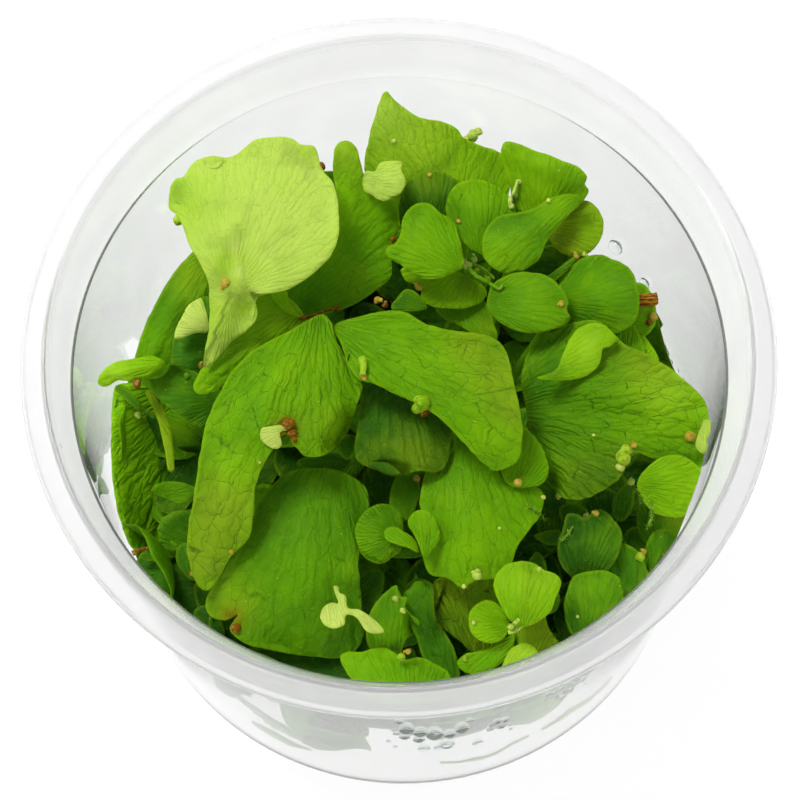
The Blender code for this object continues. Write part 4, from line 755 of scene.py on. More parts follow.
def paint(mesh, look, margin, seed):
    """Write the blade's map, its wash and its net into the mesh."""
    u, v, _ = to_sight(points_of(mesh))
    du, dv = u - look.fan[0], v - look.fan[1]
    middle = math.atan2(float(np.mean(dv)), float(np.mean(du)))
    turn = (np.arctan2(dv, du) - middle + math.pi) % math.tau - math.pi
    blade = np.stack((np.hypot(du, dv) + 1.0, turn + seed % 40, margin), axis=1)
    write(mesh, "blade", "FLOAT_VECTOR", blade)
    wash = np.tile(np.array(GREENS[look.green]), (len(u), 1))
    # The dabs: tints of the frond's own, and also painted shade and painted highlights.
    for x, y, size, other, strength in look.dabs:
        near = np.exp(-((u - x) ** 2 + (v - y) ** 2) / size ** 2) * strength
        wash += (np.array(GREENS[other]) - wash) * near[:, None]
    write(mesh, "wash", "FLOAT_COLOR", wash)
    write(mesh, "net", "FLOAT", np.full(len(u), look.net))
    finished(mesh, leaf)


def finished(mesh, finish):
    """Give a mesh its only finish, and shade it smooth."""
    mesh.materials.clear()
    mesh.materials.append(finish)
    mesh.shade_smooth()


print("a mesh can carry", ", ".join(FIELDS))


# %% A closed blade
WALL_GAP = 0.7
THIN_MARGIN = 1.2


def mesh_of(name, points, faces):
    """A mesh from places in millimetres."""
    mesh = bpy.data.meshes.new(name)
    mesh.from_pydata([tuple(p) for p in points * MM], [], faces)
    return mesh


def fold_height(u, v, folds):
    """The rise of soft folds at each place."""
    total = np.zeros(len(u))
    for ax, ay, bx, by, reach, rise in folds:
        length = (bx - ax) ** 2 + (by - ay) ** 2
        t = np.clip(((u - ax) * (bx - ax) + (v - ay) * (by - ay)) / length, 0, 1)
        away = (u - ax - t * (bx - ax)) ** 2 + (v - ay - t * (by - ay)) ** 2
        total += rise * np.exp(-away / reach ** 2)
    return total


def two_sided(name, top, under, triangles, rim):
    """A closed mesh between two sides of the same triangles, whose first rows are the margin."""
    points = np.concatenate((top, under))
    count = len(top)
    here = np.arange(rim)
    ahead = (here + 1) % rim
    sides = np.stack((ahead, here, here + count, ahead + count), 1)
    faces = triangles.tolist() + (triangles[:, ::-1] + count).tolist() + sides.tolist()
    return mesh_of(name, points, faces), points, faces


def blade_mesh(name, u, v, w, triangles, rim, margin, thickness):
    """A closed blade from its upper side."""
    top = kept_inside(from_sight(u, v, w), WALL_GAP)
    thick = thickness * (0.35 + 0.65 * np.clip(margin / THIN_MARGIN, 0, 1))
    mesh, points, faces = two_sided(name, top, top - BACK * thick[:, None], triangles, rim)
    skins[name] = tree_of(points, faces)
    return mesh


print("blades can be closed")


# %% Pieces
def only(*pieces):
    """Select these pieces and make the first one active."""
    bpy.ops.object.select_all(action="DESELECT")
    for piece in pieces:
        piece.select_set(True)
    bpy.context.view_layer.objects.active = pieces[0]


def new_piece(name, mesh):
    piece = bpy.data.objects.new(name, mesh)
    bpy.context.collection.objects.link(piece)
    return piece


def settled(piece):
    """The piece stays with the pot."""
    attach(piece, "root")


def faces_outward(piece):
    """Turn every face of a piece outward."""
    only(piece)
    bpy.ops.object.mode_set(mode="EDIT")
    bpy.ops.mesh.select_all(action="SELECT")
    bpy.ops.mesh.normals_make_consistent(inside=False)
    bpy.ops.object.mode_set(mode="OBJECT")


# %% Stalks
BLADE_REACH = 0.5
BLADE_DEPTH = 1.5


def merged(node):
    """A solid's mesh with its loose triangles joined, to be edited."""
    form = bmesh.new()
    form.from_mesh(nodes[node].data)
    bmesh.ops.remove_doubles(form, verts=form.verts, dist=0.01 * MM)
    return form


def mesh_from(form, name):
    """What has been edited, as a mesh."""
    mesh = bpy.data.meshes.new(name)
    form.to_mesh(mesh)
    form.free()
    return mesh


def stalk_mesh(node, outline, solid_skin):
    """The part of a solid frond that isn't its blade, or None."""
    form = merged(node)
    places = np.array([tuple(vertex.co) for vertex in form.verts]) / MM
    u, v, w = to_sight(places)
    on_blade = inside(outline, u, v) | (to_margin(outline, u, v) < BLADE_REACH)
    on_blade &= np.abs(w - first_hit(solid_skin, u, v)) < BLADE_DEPTH
    blade = {vertex for vertex, flag in zip(form.verts, on_blade) if flag}
    gone = [face for face in form.faces if all(vertex in blade for vertex in face.verts)]
    bmesh.ops.delete(form, geom=gone, context="FACES")
    if not form.faces:
        form.free()
        return None
    bmesh.ops.holes_fill(form, edges=form.edges, sides=0)
    return mesh_from(form, node + "_stalk")


def rounded(mesh, levels):
    """A piece with a mesh's form after Subdivision Surface."""
    piece = new_piece(mesh.name, mesh)
    only(piece)
    rounding = piece.modifiers.new("rounding", "SUBSURF")
    rounding.levels = rounding.render_levels = levels
    bpy.ops.object.modifier_apply(modifier="rounding")
    return piece


print("stalks can be rounded")


# %% The fronds
BLADE_SPACING = 0.45
BLADE_THICKNESS = 0.55
BLADE_EVENING = 14


def frond(name, look):
    """One frond, drawn over its solid and shown in its place."""
    node = "frond_" + name
    seed = sum(map(ord, name))
    edge = smooth_outline(look.outline, BLADE_SPACING * 0.9, 0.10, seed)
    flat, triangles = fill(edge, BLADE_SPACING)
    u, v = flat.T
    solid_skin = skin_of(nodes[node].data)
    w = first_hit(solid_skin, u, v)
    for index in np.flatnonzero(np.isnan(w)):
        hits = np.flatnonzero(~np.isnan(w[:len(edge)]) if index < len(edge) else ~np.isnan(w))
        w[index] = w[hits[np.argmin((u[hits] - u[index]) ** 2 + (v[hits] - v[index]) ** 2)]]
    w = evened(w, triangles, BLADE_EVENING)
    margin = to_margin(edge, u, v)
    w += fold_height(u, v, look.folds)
    w += (0.14 * waves(flat, seed, 4.5)
          + 0.22 * np.exp(-margin / THIN_MARGIN) * waves(flat, seed + 3, 3.0))
    mesh = blade_mesh("leaf_" + name, u, v, w, triangles, len(edge), margin, BLADE_THICKNESS)
    blade = new_piece("leaf_" + name, mesh)
    stalk = stalk_mesh(node, edge, solid_skin)
    if stalk:
        only(blade, rounded(stalk, 2))
        bpy.ops.object.join()
    margins = np.full(len(blade.data.vertices), 1.0)
    margins[:2 * len(u)] = np.tile(margin, 2)
    paint(blade.data, look, margins, seed)
    settled(blade)
    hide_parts(node)


for name, look in FRONDS.items():
    frond(name, look)
face_counts = [len(bpy.data.objects["leaf_" + name].data.polygons) for name in FRONDS]
print(len(skins), "fronds,", sum(face_counts), "faces")

# %% [markdown]
# The fronds along the wall and the rootstock are only seen through the wall, so the solids are
# rounded and given a finish. The rootstock and the cut stem are brown and fibrous.

# %% The brown finish
DRY_SPOT = srgb(58, 30, 4)


def brown_finish(name, dark, light, along):
    """Fibres from dark to light, stretched by the scales along the three axes, and dry spots."""
    finish, shader, place = new_finish(name)
    fibres = place.scaled(*along).noise(1.0, 4.0)
    spots = place.noise(0.9, 2.0)
    colour = fibres.step(0.35, 0.65).between(dark, light)
    colour = colour.mixed(DRY_SPOT, spots.step(0.50, 0.70) * 0.6)
    set_plain(shader, Specular_IOR_Level=0.05)
    cover(shader, colour, 0.55 + fibres * 0.3, fibres + spots * 0.5, strength=1.0, depth=0.3)
    return finish


stem_brown = brown_finish("dry_stem", srgb(104, 58, 6), srgb(196, 138, 44), (0.5, 4.0, 4.0))
root_brown = brown_finish("rootstock", srgb(78, 36, 12), srgb(158, 88, 44), (2.0, 2.0, 2.0))
print("brown finishes:", stem_brown.name, root_brown.name)


# %% The parts that are smoothed
def smoothed(node, name, ripple, length):
    """A rounded, slightly uneven copy of a solid, shown in its place."""
    piece = rounded(mesh_from(merged(node), name), 2)
    points = points_of(piece.data)
    normals = np.empty(points.size)
    piece.data.vertices.foreach_get("normal", normals)
    points += normals.reshape(-1, 3) * (ripple * (waves(points, 5, length) - 0.6))[:, None]
    piece.data.vertices.foreach_set("co", (points * MM).ravel())
    piece.data.shade_smooth()
    settled(piece)
    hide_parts(node)
    return piece


for node, name, finish, ripple, length in (
        ("crown", "rootstock", root_brown, 0.3, 2.5),
        ("old_stem", "dry_stem", stem_brown, 0.15, 0.8)):
    finished(smoothed(node, name, ripple, length).data, finish)
for number in range(1, 6):
    low = Look("middle" if number % 2 else "deep", 0.3, (0, -9), (), (), ())
    piece = smoothed(f"frond_low_{number}", f"leaf_low_{number}", 0.1, 4.0)
    paint(piece.data, low, np.full(len(piece.data.vertices), 1.0), number)
print("smoothed parts done")

# %% [markdown]
# Under the fronds that show, the heap goes on: many small dark leaves fill the pot, so no gap is
# empty. Each is a domed disc, drawn out toward its base and tipped its own way, and a ring of
# larger ones leans on the wall. All are made from one recipe and gathered into one piece each.
# The few that are seen as soft shapes through the near wall are drawn one by one: a line of sight
# through each place of the outline is followed to the wall, and the leaf lies there.

# %% One leaf beneath
RINGS = 5
SPOKES = 18
DISC_THICKNESS = 0.35


def disc_leaf(chance, centre, across, along, length, width):
    """The points, faces and margin distances of a domed leaf on two directions."""
    up = np.cross(along, across)
    dome = chance.uniform(0.06, 0.16) * length
    points, margins = [], []
    notch = chance.uniform(0.0, 0.12)
    for side in (0.0, -DISC_THICKNESS):
        points.append(centre + up * (dome + side))
        margins.append(width / 2)
        for ring in range(1, RINGS + 1):
            share = ring / RINGS
            for spoke in range(SPOKES):
                turn = math.tau * spoke / SPOKES
                reach = share * (1 + 0.16 * math.cos(turn) + notch * math.cos(3 * turn + 1.2))
                x, y = reach * math.cos(turn) * length / 2, reach * math.sin(turn) * width / 2
                curl = 0.04 * length * math.sin(2.4 * turn + length)
                lift = dome * (1 - share ** 2) + curl * share ** 2
                thin = side * (1 - 0.6 * share ** 4)
                points.append(centre + along * x + across * y + up * (lift + thin))
                margins.append((1 - share) * width / 2)
    count = len(points) // 2
    faces = []
    for side in (0, count):
        for spoke in range(SPOKES):
            ahead = (spoke + 1) % SPOKES
            turned = [(side, side + 1 + spoke, side + 1 + ahead)]
            for ring in range(RINGS - 1):
                near, far = side + 1 + ring * SPOKES, side + 1 + (ring + 1) * SPOKES
                turned.append((near + spoke, far + spoke, far + ahead, near + ahead))
            faces += [face if side == 0 else face[::-1] for face in turned]
    last = 1 + (RINGS - 1) * SPOKES
    for spoke in range(SPOKES):
        ahead = (spoke + 1) % SPOKES
        faces.append((last + spoke, last + spoke + count, last + ahead + count, last + ahead))
    return points, faces, margins


print("a leaf beneath has", 2 * (1 + RINGS * SPOKES), "points")


# %% Many leaves as one piece
SMALL_NET = 0.3


def gather(name, leaves, gap):
    """One piece from many leaves: (points, faces, margins, green) each."""
    points, faces, blade, wash = [], [], [], []
    for index, (places, polygons, margins, green) in enumerate(leaves):
        start = len(points)
        faces += [tuple(corner + start for corner in polygon) for polygon in polygons]
        base = np.array(places[len(places) // 2 - SPOKES // 2])
        points += list(places)
        offset = np.array(places) - base
        blade += [(np.linalg.norm(o) + 1.0, math.atan2(o[1], o[0]) + index, m)
                  for o, m in zip(offset, margins)]
        wash += [GREENS[green]] * len(places)
    mesh = mesh_of(name, kept_inside(np.array(points), gap), faces)
    write(mesh, "blade", "FLOAT_VECTOR", blade)
    write(mesh, "wash", "FLOAT_COLOR", wash)
    write(mesh, "net", "FLOAT", np.full(len(points), SMALL_NET))
    finished(mesh, leaf)
    piece = new_piece(name, mesh)
    faces_outward(piece)
    settled(piece)
    print(name, "holds", len(leaves), "leaves")
    return piece


print("leaves can be gathered")

# %% The heap below
HEAP_LAYERS = ((39.5, 7.6, 10.5), (34.5, 8.6, 12.0), (27.0, 10.0, 13.5))
HEAP_RADIUS = 38.5


def leaves_beneath():
    """Three layers of leaves, each at a height, with a spacing and a size of leaf."""
    chance = np.random.default_rng(11)
    leaves = []
    for height, spacing, size in HEAP_LAYERS:
        for row in range(-6, 7):
            for column in range(-6, 7):
                x = (column + 0.5 * (row % 2)) * spacing + chance.uniform(-1.6, 1.6)
                y = row * spacing * ROW_STEP + chance.uniform(-1.6, 1.6) - 2.0
                if math.hypot(x, y) > HEAP_RADIUS:
                    continue
                turn = chance.uniform(0, math.tau)
                tip, roll = chance.uniform(-0.35, 0.35, 2)
                along = np.array((math.cos(turn) * math.cos(tip), math.sin(turn) * math.cos(tip),
                                  math.sin(tip)))
                across = np.cross((0, 0, 1.0), along)
                across = across / np.linalg.norm(across) + np.array((0, 0, roll))
                across /= np.linalg.norm(across)
                centre = np.array((x, y, height + chance.uniform(-1.5, 1.0)))
                length = size * chance.uniform(0.8, 1.1)
                parts = disc_leaf(chance, centre, -across, along, length, 0.78 * length)
                leaves.append((*parts, chance.choice(("deep", "shade", "middle"))))
    return gather("leaves_beneath", leaves, 1.0)


print(len(HEAP_LAYERS), "layers beneath")

# %% The ring on the wall
WALL_RING = (
    (205, 38, 20, 14, 0.5, "middle"), (222, 28, 22, 15, -0.6, "fresh"),
    (238, 40, 22, 12, 0.9, "deep"), (252, 22, 20, 13, -0.3, "middle"),
    (285, 42, 18, 12, 1.2, "middle"), (300, 30, 24, 14, 0.7, "fresh"),
    (318, 38, 20, 13, -0.8, "deep"), (335, 26, 22, 14, 0.4, "middle"),
    (20, 36, 20, 14, 0.5, "deep"), (60, 30, 22, 14, -0.4, "deep"), (100, 34, 22, 14, 0.6, "deep"),
    (140, 32, 22, 14, -0.5, "deep"), (175, 34, 20, 14, 0.4, "middle"),
)


def leaves_on_wall():
    """Leaves that lean on the wall: bearing, height, length, width, lean and green of each."""
    chance = np.random.default_rng(4)
    leaves = []
    for bearing, height, length, width, lean, green in WALL_RING:
        turn = math.radians(bearing)
        out = np.array((math.cos(turn), math.sin(turn), 0.0))
        round_about = np.array((-math.sin(turn), math.cos(turn), 0.0))
        along = round_about * math.sin(lean) + np.array((0, 0, 1.0)) * math.cos(lean)
        across = np.cross(out, along)
        centre = out * (wall_radius(height) - 2.0) + np.array((0, 0, height))
        leaves.append((*disc_leaf(chance, centre, -across, along, length, width), green))
    return gather("leaves_on_wall", leaves, 0.5)


print(len(WALL_RING), "leaves in the ring")

# %% The leaves seen through the wall
SEEN_ON_WALL = (
    ("wall_leaf_left", "deep", 1.0, (
        (-24.3, -44.4), (-23, -44.7), (-20, -46.8), (-16, -49.6), (-13, -51.1), (-9.8, -52.7),
        (-12.1, -52.6), (-14.5, -52), (-16, -51.5), (-18.1, -50.4), (-20.1, -49), (-22.4, -47.1),
        (-24, -45.3))),
    ("wall_leaf_low_left", "fresh", 2.2, (
        (-22.5, -49), (-20.9, -48.7), (-18.5, -49.7), (-16, -51.2), (-13.4, -52.5), (-13.7, -53.2),
        (-16.1, -53), (-18.2, -52.6), (-21, -51.6), (-22.1, -50.5))),
    ("wall_leaf_middle", "bright", 1.0, (
        (2.2, -50), (5.2, -49.3), (8.3, -48.8), (12.3, -47.9), (13.2, -48.2), (12.3, -49),
        (8.9, -50), (5.1, -50.5))),
    ("wall_leaf_high", "bright", 1.2, (
        (12.7, -47.9), (15.8, -47.2), (19, -46), (20, -45.4), (18.2, -47), (16.7, -47.9),
        (14.1, -48.9), (12.9, -49.1))),
    ("wall_leaf_right", "bright", 1.0, (
        (26.8, -44.4), (24.5, -46.2), (20.7, -48.3), (18.6, -49.7), (16.6, -51.4), (18.6, -51),
        (21.4, -49.5), (24.4, -47.5), (26.2, -45.6))),
    ("wall_leaf_low", "bright", 1.0, (
        (15.6, -51.6), (13.1, -52.4), (10.1, -53.8), (5.5, -54.6), (3, -55.1), (5.5, -55.6),
        (8, -55.5), (11, -54.6), (13.6, -53.2), (15.5, -52.2))),
)


REACHES = np.arange(380.0, 560.0, 0.1)
LOWEST = 2.0
HIGHEST = 60.0


def line_of_sight(u, v):
    """The direction, of length 1, from the eye through a place."""
    target = from_sight(u, v, 0.0)
    return (target - EYE) / np.linalg.norm(target - EYE)


def leaf_on_wall(name, green, gap, outline):
    """A leaf that lies on the near wall and is seen through it."""
    seed = sum(map(ord, name))
    edge = smooth_outline(outline, 0.5, 0.0, seed)
    flat, triangles = fill(edge, 0.7)
    points = []
    for u, v in flat:
        places = EYE + line_of_sight(u, v) * REACHES[:, None]
        places = places[places[:, 2] > LOWEST]
        radius = np.hypot(places[:, 0], places[:, 1])
        near = (radius < wall_radius(places[:, 2]) - gap) & (places[:, 2] < HIGHEST)
        points.append(places[np.argmax(near) if near.any() else len(places) - 1])
    points = np.array(points)
    for axis in range(3):
        points[:, axis] = evened(points[:, axis], triangles, 5)
    points = kept_inside(points, gap)
    inward = -points * (1, 1, 0) / np.hypot(points[:, 0], points[:, 1])[:, None]
    mesh = two_sided(name, points, points + inward * DISC_THICKNESS, triangles, len(edge))[0]
    look = Look(green, SMALL_NET, np.array(outline[0]) - 2.0, (), (), ())
    paint(mesh, look, np.tile(to_margin(edge, *flat.T), 2), seed)
    settled(new_piece(name, mesh))


for name, green, gap, outline in SEEN_ON_WALL:
    leaf_on_wall(name, green, gap, outline)
beneath = leaves_beneath()
on_wall = leaves_on_wall()
print("faces beneath:", len(beneath.data.polygons), "and on the wall:", len(on_wall.data.polygons))

# %% [markdown]
# Small leaves fill the gaps between the large ones. They are drawn like them, but nothing solid
# gives their height, so each is put at a height and bent over whatever lies under it.

# %% One small leaf
ORDER = list(FRONDS)
SMALL_THICKNESS = 0.4
SMALL_DOME = 0.4
CLEARANCE = 0.1


def small_leaf(name, green, after, height, outline, ruffle):
    """A leaf at a height, bent over the fronds up to and including the one it comes after."""
    seed = sum(map(ord, name))
    edge = smooth_outline(outline, 0.35, 0.06, seed)
    flat, triangles = fill(edge, 0.42)
    u, v = flat.T
    base, middle = np.array(outline[0]), np.mean(outline, 0)
    size = max(math.dist(corner, base) for corner in outline)
    share = np.minimum(1.0, np.hypot(u - middle[0], v - middle[1]) / (0.6 * size))
    w = depth_at(v, height) + SMALL_DOME * (1 - share ** 2)
    w += ruffle * waves(flat, seed, 1.7)
    for carrier in ORDER[:ORDER.index(after) + 1]:
        low = first_hit(skins["leaf_" + carrier], u, v)
        need = np.where(np.isnan(low), 0.0, low + SMALL_THICKNESS + CLEARANCE - w)
        worst = np.maximum(need, 0.0)
        if worst.max() > 0:
            w = w + np.maximum(worst, evened(worst, triangles, 6))
    w = evened(w, triangles, 3)
    margin = to_margin(edge, u, v)
    mesh = blade_mesh(name, u, v, w, triangles, len(edge), margin, SMALL_THICKNESS)
    toward = base - (middle - base) / np.linalg.norm(middle - base) * 1.5
    paint(mesh, Look(green, SMALL_NET, toward, (), (), ()), np.tile(margin, 2), seed)
    settled(new_piece(name, mesh))


print("small leaves come after any of", len(ORDER), "fronds")

# %% The small leaves
SMALL_LEAVES = (
    ("sprout_low_left", "deep", "low_left", 41, (
        (-28.2, -29.8), (-29.6, -29), (-30.6, -27), (-30.3, -25.2), (-29, -24.8), (-28, -26),
        (-27.6, -28))),
    ("sprout_low_front", "shade", "low_left", 40, (
        (-24.5, -36.5), (-26, -33.5), (-27.8, -33.2), (-28.6, -34.4), (-27.5, -36.5),
        (-25.5, -38))),
    ("sprout_left_gap", "cream", "left_wall", 47, (
        (-25, 3.5), (-26, 7.8), (-27.5, 7), (-28.8, 5), (-29.6, 2.4), (-27, 3))),
    ("sprout_right_low", "deep", "right_low", 45, (
        (30, -19), (27.8, -21), (27.7, -23.4), (29, -24.2), (30.3, -22.5), (30.6, -20))),
    ("sprout_right_wall", "deep", "right_low", 44, (
        (29.5, -28.3), (28.8, -26.5), (29.8, -25.2), (31.5, -25.1), (32.9, -26), (32.5, -27.5),
        (31, -28.6))),
    ("sprout_gap_right", "deep", "mid_low", 48, (
        (20.5, -25), (17.3, -25.4), (17.2, -26), (19, -27), (20.5, -26.8))),
    ("sprout_gap_front", "deep", "mid_low", 48, (
        (18.2, -31), (16, -29.7), (17.2, -27.8), (18.3, -28.8), (18.6, -30.5))),
    ("sprout_front_right", "deep", "mid_low", 48, (
        (18, -36), (17.8, -33), (19.4, -32.4), (20.2, -34), (19.6, -35.8))),
    ("sprout_right_upper", "deep", "mid_low", 48, (
        (20.8, -23.8), (20.6, -22), (22.5, -21.6), (24, -22.2), (24.4, -23.5), (22.5, -24.4))),
    ("sprout_front_dark", "deep", "front_left_dark", 45, (
        (-7.5, -34), (-8, -31.5), (-5, -29.3), (-3.2, -29.8), (-3.2, -32), (-4.5, -34),
        (-6, -35.3))),
    ("sprout_front_olive", "olive", "front_net", 48, (
        (16, -42), (14, -39), (14.5, -36), (17.5, -34.5), (18.5, -38), (19.9, -40.5), (18, -43))),
    ("sprout_centre_gap", "middle", "mid_low", 50, (
        (0.5, -22.9), (-1, -22), (-2, -20.5), (-1, -17.2), (1.5, -16.8), (2.2, -19), (1.4, -21.5))),
    ("sprout_under_centre", "deep", "mid_low", 50, (
        (-7, -14.5), (-10, -13.5), (-14, -14.5), (-12, -16.2), (-9, -16.6), (-7.2, -15.6))),
    ("sprout_curled_stalk", "fresh", "curled_round", 55, (
        (1.6, -27.3), (0.2, -26.6), (-1, -26.2), (-2.6, -25.4), (-2.7, -24.1), (-1.6, -23.7),
        (0.4, -24.8), (1.4, -26))),
    ("sprout_front_yellow", "yellow", "front_curl", 52, (
        (12, -43.8), (13, -41), (15, -39.9), (16.5, -40.5), (16.8, -41.7), (14.5, -43.2))),
    ("stalk_left", "olive", "left_behind_strap", 47, (
        (-33.8, -4.5), (-32.4, -5), (-31, -8), (-30.4, -12), (-30.4, -15), (-31.2, -15),
        (-31.6, -12), (-32.4, -8))),
    ("sprout_left_wall", "deep", "left_wall", 46, (
        (-37.8, -3.9), (-37, -3.4), (-35.5, -4.6), (-34.4, -6.2), (-34.8, -7), (-36, -6))),
    ("crumpled_back", "pale", "back_finger", 61, (
        (-3.8, 22.5), (-3.3, 23.7), (-2.2, 23.6), (-1.4, 24.7), (0.3, 24.9), (1.5, 24.7),
        (1.4, 23.6), (1.9, 22), (1.2, 20.6), (0.2, 20.2), (-0.8, 19.6), (-1.8, 19.8), (-2.6, 20.4),
        (-3.7, 21.1))),
    ("stub_left", "bright", "under_lobed", 58, (
        (-12.7, 4.6), (-14.2, 5), (-15.8, 6.5), (-16.6, 7.8), (-16, 8.3), (-14.6, 8.2),
        (-14.2, 6.8), (-13.3, 5.2))),
    ("sprout_right_edge", "fresh", "right_behind", 54, (
        (30.5, -3), (29, -1.2), (29.4, 1), (31.2, 2.1), (32.3, 0), (32.7, -2.3))),
    ("sprout_right_edge_small", "bright", "right_behind", 53, (
        (31, -4), (32.4, 0.2), (33.2, -0.3), (34.6, -3), (33, -4))),
    ("stalk_upper_right", "deep", "back_dark", 57, (
        (19.6, 8.2), (21.5, 9.6), (23.8, 11.2), (24.2, 10.8), (22.2, 8.8), (20.6, 7.6))),
    ("sprout_upper_gap", "deep", "back_finger", 56, (
        (4, 5), (0.2, 4.8), (-0.7, 5.6), (0.4, 7), (1.5, 7.8), (3, 7))),
    ("sprout_centre", "deep", "lower_centre", 54, (
        (-7.6, -14.6), (-8.6, -13), (-7.6, -11.6), (-6.4, -11.3), (-6, -12.6), (-6.4, -14))),
    ("sprout_right_margin", "fresh", "right_large", 56, (
        (37.5, -15.5), (39, -15.2), (40.8, -15.6), (41, -17), (40.3, -18.4), (39, -18))),
    ("curl_right_margin", "pale", "right_large", 60, (
        (40.2, -11.2), (41.2, -11.4), (41.2, -12.8), (40.5, -13.8), (40.6, -15), (39.8, -15.6),
        (39, -14.5), (39.4, -13), (39.9, -12))),
    ("plantlet_pale", "cream", "big_lower_left", 55, (
        (-9.9, -31.3), (-9.2, -31.3), (-9.1, -32.2), (-8.3, -32.6), (-8.1, -34.2), (-6.5, -34.6),
        (-5, -35.6), (-3.4, -37.5), (-4.6, -37.8), (-5.8, -37.3), (-7, -35.6), (-8.3, -35.2),
        (-8.6, -36.4), (-9.9, -36.9), (-11.2, -36.4), (-11.8, -35.2), (-11.3, -34), (-10.2, -33.5),
        (-9.3, -33.6), (-9.6, -32.4))),
    ("plantlet_two_lobed", "cream", "centre_left", 62, (
        (-15.1, -10.3), (-16.2, -10.6), (-16, -12.2), (-16.7, -12.8), (-17.9, -12.3),
        (-18.8, -11.2), (-18.6, -10), (-17.4, -9.7), (-16, -9.6))),
)
SMALL_RUFFLE = 0.06
CRUMPLED_RUFFLE = 0.6
for name, *row in SMALL_LEAVES:
    crumpled = name.startswith(("crumpled", "curl"))
    small_leaf(name, *row, CRUMPLED_RUFFLE if crumpled else SMALL_RUFFLE)
print(len(SMALL_LEAVES), "small leaves")

# %% [markdown]
# Buds sit along the margins and where old hairs were: green or tan knobs of a few lumps each. A bud
# is put where its line of sight first meets a leaf. Some show a brown, dead base.

# %% The bud finish
DARK_FLECK = srgb(112, 66, 6)
LIGHT_FLECK = srgb(226, 232, 140)


def bud_finish():
    finish, shader, place = new_finish("bud")
    flecks = place.noise(2.2, 3.0)
    colour = place.painted("wash").mixed(DARK_FLECK, flecks.step(0.56, 0.68) * 0.5)
    colour = colour.mixed(LIGHT_FLECK, (1.0 - flecks.step(0.34, 0.44)) * 0.25)
    set_plain(shader, Specular_IOR_Level=0.06)
    cover(shader, colour, 0.35 + flecks * 0.3, flecks, strength=0.8, depth=0.12)
    return finish


bud = bud_finish()
print("bud finish:", len(bud.node_tree.nodes), "nodes")

# %% The buds
BUDS = (
    (-28.5, 18.2, 1.9, "yellow"), (-22.6, 9.6, 1.7, "tan"), (-9.3, 24.5, 1.6, "brown"),
    (-26.2, -1.3, 1.3, "tan"), (11, 27.8, 2.0, "pale"), (11.8, 28.3, 1.4, "pale"),
    (10.2, 27.4, 1.3, "cream"), (0.5, 27.5, 0.8, "cream"), (5.1, 22.8, 0.8, "tan"),
    (8.7, 16.5, 0.8, "tan"), (0, 14.5, 1.1, "brown"), (15.8, 18.2, 1.1, "cream"),
    (16.4, 19.6, 1.0, "pale"), (16.9, 21.4, 1.0, "cream"), (20.8, 18.8, 0.9, "pale"),
    (3, 8, 1.3, "tan"), (9.6, 10.6, 1.5, "cream"), (10.6, 11.4, 1.2, "pale"),
    (10.9, 9.8, 1.3, "fresh"), (12.3, 8.6, 1.2, "fresh"), (13.6, 7.4, 1.1, "middle"),
    (21.9, 5, 1.1, "tan"), (24.2, 11.3, 1.2, "tan"), (25.2, 11.5, 0.9, "cream"),
    (34, 2.8, 1.6, "tan"), (33.4, 2.0, 1.1, "brown"), (38.3, -13.3, 2.0, "tan"),
    (29.3, -15.7, 2.6, "yellow"), (29.7, -14.7, 1.9, "yellow"), (28.9, -17.0, 1.5, "cream"),
    (30.8, -14.2, 1.1, "tan"), (3, -7.4, 2.7, "bright"), (3.1, -8.8, 1.7, "brown"),
    (2.4, -7.0, 1.6, "yellow"), (1.8, -17.4, 1.2, "tan"), (15.2, -18.5, 1.5, "tan"),
    (9.3, -30.6, 1.7, "pale"), (7.5, -32, 0.9, "cream"), (20.5, -20.5, 1.0, "cream"),
    (18.5, -20.6, 0.8, "cream"), (24, -23.3, 1.0, "cream"), (25.4, -23, 1.1, "tan"),
    (31, -29, 1.5, "yellow"), (31.6, -28.4, 1.0, "tan"), (30.2, -19, 1.3, "pale"),
    (-1.7, -33.3, 1.1, "pale"), (-0.8, -34.9, 1.0, "pale"), (-1.2, -41, 1.3, "yellow"),
    (-0.3, -40.4, 1.0, "tan"), (7.2, -41.7, 0.9, "yellow"), (17.6, -30.2, 1.0, "cream"),
    (8.6, -36.9, 0.8, "cream"), (-28.5, -20, 0.8, "tan"), (-28.6, -29, 0.9, "tan"),
    (-23.2, -26.2, 0.9, "tan"), (-23, -36.3, 1.6, "brown"), (-35, -7.5, 1.2, "pale"),
    (-32, -21, 0.6, "cream"), (-28.2, -2.6, 1.2, "middle"), (-34.9, -3.4, 1.6, "brown"),
    (-12.5, 4.5, 1.0, "brown"), (-8, 5.5, 1.1, "brown"), (-2.5, 6.5, 1.2, "tan"),
    (-1.5, 5.8, 1.1, "brown"), (-15, -9.6, 2.2, "brown"), (-14.5, -10.8, 1.6, "brown"),
    (-4.8, -3.4, 1.3, "tan"), (13.4, -37.6, 1.0, "cream"), (-19, -14.5, 0.5, "cream"),
    (12.5, -24.5, 0.5, "cream"), (25.5, -12.6, 0.5, "cream"), (22.4, -36.6, 0.5, "cream"),
)


def front_w(u, v):
    """The w where lines of sight first meet any leaf, nan where they meet none."""
    hits = [first_hit(tree, u, v) for tree in skins.values()]
    return np.fmax.reduce(hits)


def join_all(pieces, name):
    only(*pieces)
    bpy.ops.object.join()
    pieces[0].name = name
    return pieces[0]


ONE_LUMP = 0.9
LARGE = 1.4
HEAP_TOP = 54.0


